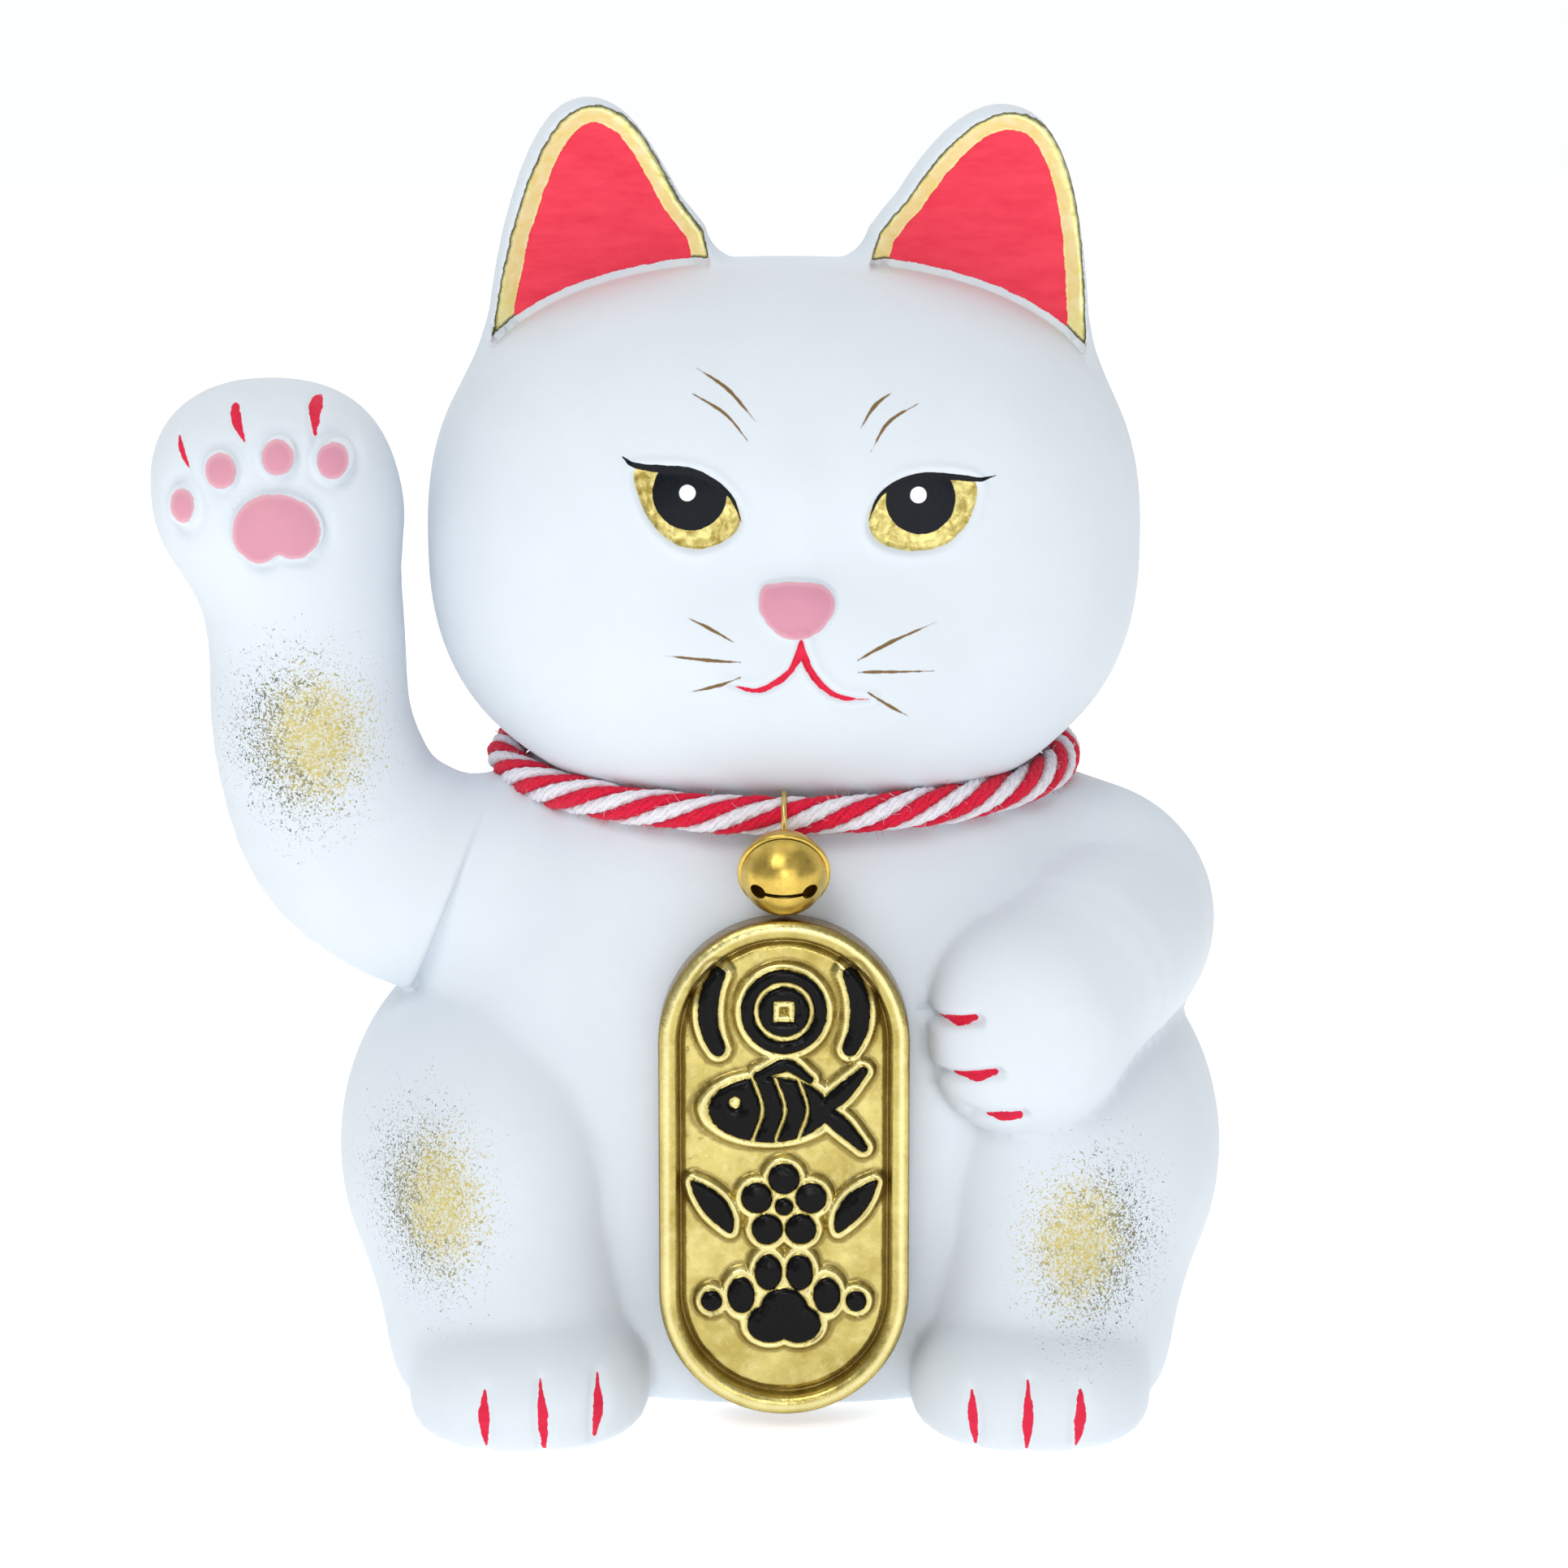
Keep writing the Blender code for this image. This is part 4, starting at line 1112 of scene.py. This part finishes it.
def blossom_motif(x, z):
    angles = [math.radians(90 + 72 * number) for number in range(5)]
    petals = [disc(x, z, 5.6 * math.cos(a), 5.6 * math.sin(a), 2.9) for a in angles]
    leaves = [
        bar(x, z, (s * 10.6, -4.8, 0.8), (s * 11.6, -2.6, 3.2), (s * 13.5, 0, 4.4),
            (s * 15.7, 2.5, 3.2), (s * 17.8, 4.8, 0.8)) for s in (-1, 1)
    ]
    return least([*petals, disc(x, z, 0, 0, 1.6), *leaves])


def paw_motif(x, z):
    discs = [(0, -1.6, 4.6, 4.4)]
    for s in (-1, 1):
        discs += [(s * 2.8, -4.2, 4.3, 3.7), (s * 3.1, 6.2, 2.5, 3.4), (s * 8.4, 1.6, 2.5, 3.4)]
        discs.append((s * 14.2, 0.4, 1.9))
    return least(disc(x, z, *given) for given in discs)


MOTIFS = (paw_motif, blossom_motif, fish_motif, coin_motif)


def motifs_distance(x, z):
    found = np.full(x.shape, 9.0)
    for number, motif in enumerate(MOTIFS):
        middle = MOTIF_LOWEST + MOTIF_PITCH * number
        found = np.minimum(found, motif(x / MOTIF_SCALE, (z - middle) / MOTIF_SCALE) * MOTIF_SCALE)
    return found


def dimples_at(x, z):
    """Small hammered dents, as a depth."""
    rng = np.random.default_rng(3)
    ranges = ((-24, 24), (3, 106), DIMPLE_SIZES, DIMPLE_DEPTHS)
    depths = np.zeros(x.shape)
    for cx, cz, size, depth in zip(*(rng.uniform(low, high, DIMPLES) for low, high in ranges)):
        near = (np.abs(x - cx) < size) & (np.abs(z - cz) < size)
        away = ((x[near] - cx) ** 2 + (z[near] - cz) ** 2) / size**2
        depths[near] += depth * np.clip(1 - away, 0, 1) ** 2
    return depths


def plaque_depth(inset, x, z):
    """How far the plaque's front lies behind its highest plane."""
    lean = np.clip(1 - ((inset - BEAD_INSET) / BEAD_HALF_WIDTH) ** 2, 0, 1)
    bead = BEAD_HEIGHT * (1 - np.sqrt(lean))
    groove = GROOVE_DEPTH * bell_curve(inset, FIELD_INSET, 0.9)
    field = FIELD_DEPTH + 0.75 * dimples_at(x, z) - 0.06
    motif = motifs_distance(x, z)
    contour = CONTOUR_HEIGHT * smoothstep(2.2, 1.1, motif)
    face = FACE_HEIGHT * smoothstep(0.45, -0.3, motif)
    face += FACE_DOME * np.sqrt(np.clip(-motif / 2.2, 0, 1))
    face -= FACE_LINE_DEPTH * bell_curve(motif, 0.45, 0.3)
    return bead + (field + groove - contour - face - bead) * smoothstep(3.7, 4.7, inset)


def make_plaque():
    ring = rings_of_oval()
    insets = np.concatenate((
        np.linspace(0, PLAQUE_BEAD_END, PLAQUE_BEAD_RINGS)[1:],
        np.linspace(PLAQUE_BEAD_END, PLAQUE_HALF_WIDTH, PLAQUE_RINGS)[1:],
    ))
    rows = [oval_row(ring, inset, depth) for depth, inset in PLAQUE_WALLS]
    walls = len(rows) * len(ring)
    rows += [oval_row(ring, inset, 0) for inset in insets]
    points = np.vstack(rows)
    inset = np.repeat(insets, len(ring))
    points[walls:, 1] = plaque_depth(inset, points[walls:, 0], points[walls:, 2])
    obj = mesh_object("koban_plaque_fine", points, tube_faces(len(rows), len(ring))[:-1])
    store(obj, "motif", motifs_distance(points[:, 0], points[:, 2]))
    store(obj, "inset", np.concatenate((np.full(walls, -1), inset)))
    bm = bmesh.new()
    bm.from_mesh(obj.data)
    bmesh.ops.remove_doubles(bm, verts=bm.verts, dist=1e-6)
    bmesh.ops.recalc_face_normals(bm, faces=bm.faces)
    place = Matrix.Translation(Vector(PLAQUE_BOTTOM) * MM)
    bm.transform(place @ Matrix.Rotation(-PLAQUE_LEAN, 4, "X"))
    bm.to_mesh(obj.data)
    bm.free()
    obj.data.set_sharp_from_angle(angle=math.radians(60))
    place_piece(obj, "figurine", "koban_plaque", plaque_material())


# Materials


class Nodes:
    """A material under construction: its nodes, and the shader that they feed."""

    def __init__(self, name):
        self.material = bpy.data.materials.new(name)
        self.material.use_nodes = True
        self.tree = self.material.node_tree
        self.shader = self.tree.nodes["Principled BSDF"]
        place = self.tree.nodes.new("ShaderNodeTexCoord")
        self.place = place.outputs["Object"]

    def link(self, value, socket):
        if isinstance(value, bpy.types.NodeSocket):
            self.tree.links.new(value, socket)
        else:
            socket.default_value = value

    def attribute(self, name):
        node = self.tree.nodes.new("ShaderNodeAttribute")
        node.attribute_name = name
        return node.outputs["Fac"]

    def noise(self, scale, detail=3.0, roughness=0.5, distortion=0.0, place=None, colour=False):
        node = self.tree.nodes.new("ShaderNodeTexNoise")
        self.link(place or self.place, node.inputs["Vector"])
        for name, value in (("Scale", scale), ("Detail", detail), ("Roughness", roughness),
                            ("Distortion", distortion)):
            node.inputs[name].default_value = value
        return node.outputs["Color" if colour else "Fac"]

    def stretched(self, scale):
        node = self.tree.nodes.new("ShaderNodeMapping")
        self.link(self.place, node.inputs["Vector"])
        node.inputs["Scale"].default_value = scale
        return node.outputs["Vector"]

    def math(self, operation, a, b=0.0, c=0.0):
        node = self.tree.nodes.new("ShaderNodeMath")
        node.operation = operation
        for socket, value in zip(node.inputs, (a, b, c)):
            self.link(value, socket)
        return node.outputs["Value"]

    def between(self, value, low, high, to_low=0.0, to_high=1.0, smooth=False):
        """A value moved from one range to another, and kept in it."""
        node = self.tree.nodes.new("ShaderNodeMapRange")
        node.interpolation_type = "SMOOTHSTEP" if smooth else "LINEAR"
        for name, given in (("Value", value), ("From Min", low), ("From Max", high),
                            ("To Min", to_low), ("To Max", to_high)):
            self.link(given, node.inputs[name])
        return node.outputs["Result"]

    def cloud(self, low, high, *noise):
        """Noise that is spread over a range."""
        return self.between(self.noise(*noise), 0.3, 0.7, low, high)

    def mix(self, share, a, b):
        node = self.tree.nodes.new("ShaderNodeMix")
        node.data_type = "RGBA"
        self.link(share, node.inputs[0])
        for value, socket in ((a, node.inputs[6]), (b, node.inputs[7])):
            self.link((*value, 1) if isinstance(value, tuple) else value, socket)
        return node.outputs[2]

    def bump(self, height, distance, strength=1.0, under=None):
        node = self.tree.nodes.new("ShaderNodeBump")
        node.inputs["Strength"].default_value = strength
        node.inputs["Distance"].default_value = distance
        self.link(height, node.inputs["Height"])
        if under is not None:
            self.link(under, node.inputs["Normal"])
        return node.outputs["Normal"]

    def finish(self, **values):
        for name, value in values.items():
            socket = self.shader.inputs[name.replace("_", " ").title()]
            self.link((*value, 1) if isinstance(value, tuple) else value, socket)
        return self.material


def once(make):
    """Runs a material's function the first time only."""
    made = {}

    def kept():
        if "it" not in made:
            made["it"] = make()
        return made["it"]

    return kept


@once
def ceramic_material():
    """Matte white slip with hand-painted colours, whose edges waver a little."""
    m = Nodes("painted_ceramic")
    wobble = m.math("ADD", m.cloud(-0.16, 0.16, 420, 2), m.cloud(-0.06, 0.06, 1600, 2))
    cloudy = m.cloud(0, 1, 28, 4, 0.6)
    colour = m.mix(cloudy, CERAMIC_WHITE, CERAMIC_SHADE)
    dusty = m.between(m.noise(900, 4, 0.7), 0.62, 0.78, 0, 0.06)
    colour = m.mix(dusty, colour, (0.42, 0.42, 0.45))

    share, dark = m.attribute("speckle"), m.attribute("speckle_dark")
    soft_gold = m.math("MULTIPLY", m.between(share, 0.55, 1.0, 0, 0.42), m.between(dark, 0.5, 0.1))
    colour = m.mix(soft_gold, colour, (0.66, 0.58, 0.24))
    flakes = m.noise(1850, 2, 0.55, 0.9)
    edge = m.between(share, 0.02, 0.9, 0.69, 0.47)
    showing = m.math("GREATER_THAN", share, 0.02)
    fleck = m.math("MULTIPLY", m.between(flakes, edge, m.math("ADD", edge, 0.05)), showing)
    tone = m.math("ADD", m.between(m.noise(420, 2, 0.6), 0.34, 0.66, -0.2, 0.2), dark)
    flake_colour = m.mix(m.between(tone, 0.12, 0.42), (0.62, 0.52, 0.16), (0.26, 0.25, 0.13))
    flake_colour = m.mix(m.between(tone, 0.5, 0.85), flake_colour, (0.04, 0.055, 0.085))
    colour = m.mix(fleck, colour, flake_colour)

    brushed = m.noise(330, 4, 0.65, 0.6)
    gold = m.mix(m.between(brushed, 0.38, 0.6), EYE_GOLD_DARK, EYE_GOLD_LIGHT)
    gold = m.mix(m.between(m.noise(210, 3, 0.6), 0.56, 0.72, 0, 0.7), gold, (0.30, 0.21, 0.04))
    line = m.between(m.math("ADD", m.attribute("ear_gold"), wobble), -0.8, -0.2)
    ear_gold = m.mix(m.between(brushed, 0.35, 0.65), (0.93, 0.86, 0.30), (1.0, 0.98, 0.56))
    ear_gold = m.mix(line, ear_gold, (0.09, 0.08, 0.02))
    pink = m.mix(cloudy, (0.70, 0.32, 0.40), (0.64, 0.27, 0.38))
    pink = m.mix(m.between(m.attribute("pink"), -1.1, -0.1, 0, 0.5), pink, (0.82, 0.54, 0.58))
    rubbed = m.between(m.noise(1.0, 4, 0.6, place=m.stretched((120, 120, 420))), 0.35, 0.7)
    coats = (
        # layer, softness of its edge, how much it wavers, paint
        ("ear_gold", 0.1, 1.0, ear_gold),
        ("ear_red", 0.1, 1.0, m.mix(rubbed, EAR_RED, EAR_RED_DARK)),
        ("pink", 0.16, 1.0, pink),
        ("red", 0.1, 1.0, m.mix(rubbed, (0.78, 0.022, 0.07), (0.66, 0.012, 0.045))),
        ("eye_gold", 0.1, 0.6, gold),
        ("lines", 0.12, 0.5, (0.20, 0.12, 0.045)),
        ("black", 0.09, 0.5, (0.002, 0.004, 0.008)),
        ("white", 0.1, 0.3, (0.86, 0.88, 0.9)),
    )
    covers = {}
    for name, edge, wavering, paint in coats:
        distance = m.math("MULTIPLY_ADD", wobble, wavering, m.attribute(name))
        covers[name] = m.between(distance, edge, -edge, smooth=True)
        colour = m.mix(covers[name], colour, paint)
    golden = m.math("MAXIMUM", m.math("MULTIPLY", covers["ear_gold"], 0.55), covers["eye_gold"])
    for name in ("ear_red", "black", "white"):
        golden = m.math("MULTIPLY", golden, m.math("SUBTRACT", 1.0, covers[name]))
    golden = m.math("MAXIMUM", golden, m.math("MULTIPLY", fleck, m.between(tone, 0.4, 0.1, 0, 0.6)))
    metallic = m.math("MULTIPLY", golden, 0.35)
    grainy = m.cloud(0.5, 0.64, 1300, 3)
    shiny = m.math("SUBTRACT", grainy, m.math("MULTIPLY", covers["black"], 0.28))
    roughness = m.math("SUBTRACT", shiny, m.math("MULTIPLY", golden, 0.17))
    coarse = m.bump(m.noise(130, 3, 0.55), 0.00022, 0.45)
    grain = m.bump(m.noise(2100, 3, 0.6), 0.00005, 0.5, under=coarse)
    paint = m.math("ADD", fleck, m.math("MAXIMUM", covers["black"], covers["red"]))
    thick = m.bump(paint, 0.00006, 0.6, under=grain)
    m.shader.inputs["IOR"].default_value = 1.45
    m.shader.inputs["Specular IOR Level"].default_value = 0.22
    return m.finish(base_color=colour, metallic=metallic, roughness=roughness, normal=thick)


@once
def cord_material():
    """Soft cotton yarns, red and white."""
    m = Nodes("cotton_cord")
    hairs = m.noise(1900, 4, 0.7)
    red = m.mix(m.between(hairs, 0.3, 0.72), (0.60, 0.006, 0.028), (0.90, 0.018, 0.07))
    white = m.mix(m.between(hairs, 0.3, 0.72), (0.76, 0.72, 0.79), (0.96, 0.94, 0.98))
    is_red = m.between(m.attribute("red"), 0.45, 0.55)
    colour = m.mix(is_red, white, red)
    # Painted shade: a darker colour between the yarns, where the yarn value is low
    shade = m.mix(is_red, (0.40, 0.38, 0.46), (0.24, 0.002, 0.01))
    colour = m.mix(m.between(m.attribute("yarn"), 0.0, 0.5, 0.75, 0), colour, shade)
    # Painted shade: dark red deep in the valleys between the strands
    deep = m.between(m.attribute("valley"), 0.25, 0.8, 0, 0.55)
    colour = m.mix(deep, colour, (0.25, 0.01, 0.03))
    soft = m.bump(m.noise(3200, 4, 0.7), 0.00012, 0.8)
    m.shader.inputs["Sheen Weight"].default_value = 0.08
    m.shader.inputs["Sheen Roughness"].default_value = 0.5
    m.shader.inputs["Specular IOR Level"].default_value = 0.2
    return m.finish(base_color=colour, roughness=m.between(hairs, 0.3, 0.7, 0.8, 0.95), normal=soft)


@once
def fibre_material():
    m = Nodes("loose_fibre")
    hairs = m.noise(240, 2)
    red = m.mix(hairs, (0.66, 0.02, 0.06), (0.86, 0.06, 0.12))
    colour = m.mix(m.attribute("red"), m.mix(hairs, (0.8, 0.76, 0.82), (0.95, 0.92, 0.96)), red)
    m.shader.inputs["Sheen Weight"].default_value = 0.3
    m.shader.inputs["Specular IOR Level"].default_value = 0.2
    return m.finish(base_color=colour, roughness=m.cloud(0.8, 0.95, 900))


def brass_material(name, tint, roughness):
    """Thin plated brass with faint turning marks and tarnish."""
    m = Nodes(name)
    cloud = m.noise(190, 4, 0.6)
    darker = tuple(0.62 * part for part in tint)
    colour = m.mix(m.between(cloud, 0.35, 0.75), tint, darker)
    spots = m.between(m.noise(900, 3, 0.6), 0.6, 0.72, 0, 0.5)
    colour = m.mix(spots, colour, (0.36, 0.2, 0.06))
    rough = m.cloud(roughness, roughness + 0.16, 520, 4, 0.65)
    dented = m.bump(m.noise(260, 2), 0.0002, 0.25)
    fine = m.bump(m.noise(2600, 2), 0.00003, 0.35, under=dented)
    return m.finish(base_color=colour, metallic=1.0, roughness=rough, normal=fine)


@once
def steel_material():
    m = Nodes("pellet_steel")
    cloud = m.cloud(0, 1, 700, 3)
    colour = m.mix(cloud, (0.5, 0.5, 0.5), (0.3, 0.3, 0.31))
    rough = m.cloud(0.3, 0.5, 1200, 3)
    return m.finish(base_color=colour, metallic=1.0, roughness=rough, normal=m.bump(cloud, 0.00005))


@once
def plaque_material():
    """Gold paint over hammered resin with black raised ornaments, and painted light: highlights on the
    bead's crest and round the ornaments, shade in the groove, round the ornaments' feet and brown on the
    side walls.
    """
    m = Nodes("plaque_gold")
    m.shader.inputs["Specular IOR Level"].default_value = 0.12
    wobble = m.cloud(-0.14, 0.14, 700, 2)
    mottle = m.noise(330, 4, 0.65)
    gold = m.mix(m.between(m.noise(95, 3, 0.6), 0.32, 0.66), PLAQUE_GOLD_DARK, PLAQUE_GOLD_LIGHT)
    gold = m.mix(m.between(mottle, 0.5, 0.8, 0, 0.35), gold, PLAQUE_GOLD_PALE_AND_HIGHLIGHT)
    inset = m.attribute("inset")
    motif = m.math("ADD", m.attribute("motif"), wobble)

    def near(value, middle, reach, share):
        """How close a value is to a middle, from 0 to a share."""
        away = m.math("ABSOLUTE", m.math("SUBTRACT", value, middle))
        return m.between(away, reach, 0.1 * reach, 0, share, smooth=True)

    # Painted highlights: paler gold on the bead's crest and on the raised contour round each ornament
    gold = m.mix(near(inset, 1.7, 1.0, 0.6), gold, PLAQUE_GOLD_PALE_AND_HIGHLIGHT)
    gold = m.mix(near(motif, 1.0, 0.7, 0.55), gold, PLAQUE_GOLD_PALE_AND_HIGHLIGHT)
    # Painted shade: deep brown round each ornament's foot and in the groove inside the bead
    gold = m.mix(near(motif, 2.35, 0.8, 0.6), gold, PLAQUE_GOLD_PAINTED_SHADE)
    gold = m.mix(near(inset, 4.5, 0.9, 0.85), gold, PLAQUE_GOLD_PAINTED_SHADE)
    # Painted shade: brown on the plaque's side walls and on the outer edge of its bead
    gold = m.mix(m.between(inset, 0.7, 0.0, 0, 0.8), gold, (0.2, 0.1, 0.03))
    black = m.between(motif, 0.28, 0.12, smooth=True)
    inner = m.math("MULTIPLY", black, m.between(inset, 3.0, 3.2))
    colour = m.mix(inner, gold, m.mix(mottle, (0.002, 0.002, 0.002), (0.006, 0.005, 0.005)))
    metallic = m.math("SUBTRACT", 0.9, m.math("MULTIPLY", inner, 0.9))
    rough = m.math("ADD", m.cloud(0.2, 0.34, 900, 3), m.math("MULTIPLY", inner, -0.1))
    uneven = m.bump(m.noise(170, 3, 0.55), 0.0006, 0.5)
    fine = m.bump(m.noise(1900, 3, 0.6), 0.00004, 0.4, under=uneven)
    return m.finish(base_color=colour, metallic=metallic, roughness=rough, normal=fine)


def floor_material():
    m = Nodes("studio_floor")
    colour = m.mix(m.cloud(0, 1, 3, 2), (0.91, 0.91, 0.915), (0.925, 0.925, 0.93))
    return m.finish(base_color=colour, roughness=0.8, emission_color=(1, 1, 1), emission_strength=0.52)


# Studio


def add_light(name, place, aim, size, power):
    light = bpy.data.lights.new(name, "AREA")
    light.shape = "RECTANGLE"
    light.size, light.size_y = size
    light.energy = power
    obj = linked(name, light)
    obj.location = place
    obj.rotation_euler = (Vector(aim) - Vector(place)).to_track_quat("-Z", "Y").to_euler()


def make_studio():
    scene = bpy.context.scene
    scene.camera = linked("camera", bpy.data.cameras.new("camera"))
    scene.camera.location = CAMERA_PLACE
    scene.camera.rotation_euler = (math.pi / 2 - CAMERA_PITCH, 0, 0)
    scene.camera.data.lens = CAMERA_LENS
    scene.camera.data.clip_start = 0.01

    half = FLOOR_HALF_SIZE
    corners = [(-half, -half, 0), (half, -half, 0), (half, half, 0), (-half, half, 0)]
    mesh = bpy.data.meshes.new("studio_floor")
    mesh.from_pydata(corners, [], [(0, 1, 2, 3)])
    mesh.materials.append(floor_material())
    linked("studio_floor", mesh)

    world = bpy.data.worlds.new("studio")
    world.use_nodes = True
    nodes, links = world.node_tree.nodes, world.node_tree.links
    place, parts = nodes.new("ShaderNodeTexCoord"), nodes.new("ShaderNodeSeparateXYZ")
    level = nodes.new("ShaderNodeMapRange")
    for name, value in zip(("From Min", "From Max", "To Min", "To Max"), WORLD_LEVELS):
        level.inputs[name].default_value = value
    links.new(place.outputs["Generated"], parts.inputs["Vector"])
    links.new(parts.outputs["Y"], level.inputs["Value"])
    links.new(level.outputs["Result"], nodes["Background"].inputs["Strength"])
    nodes["Background"].inputs["Color"].default_value = WORLD_COLOUR
    scene.world = world
    scene.view_settings.view_transform = "Standard"
    for light in LIGHTS:
        add_light(*light)


def main():
    make_studio()
    make_ceramic()
    make_cord()
    make_bell()
    make_plaque()


main()
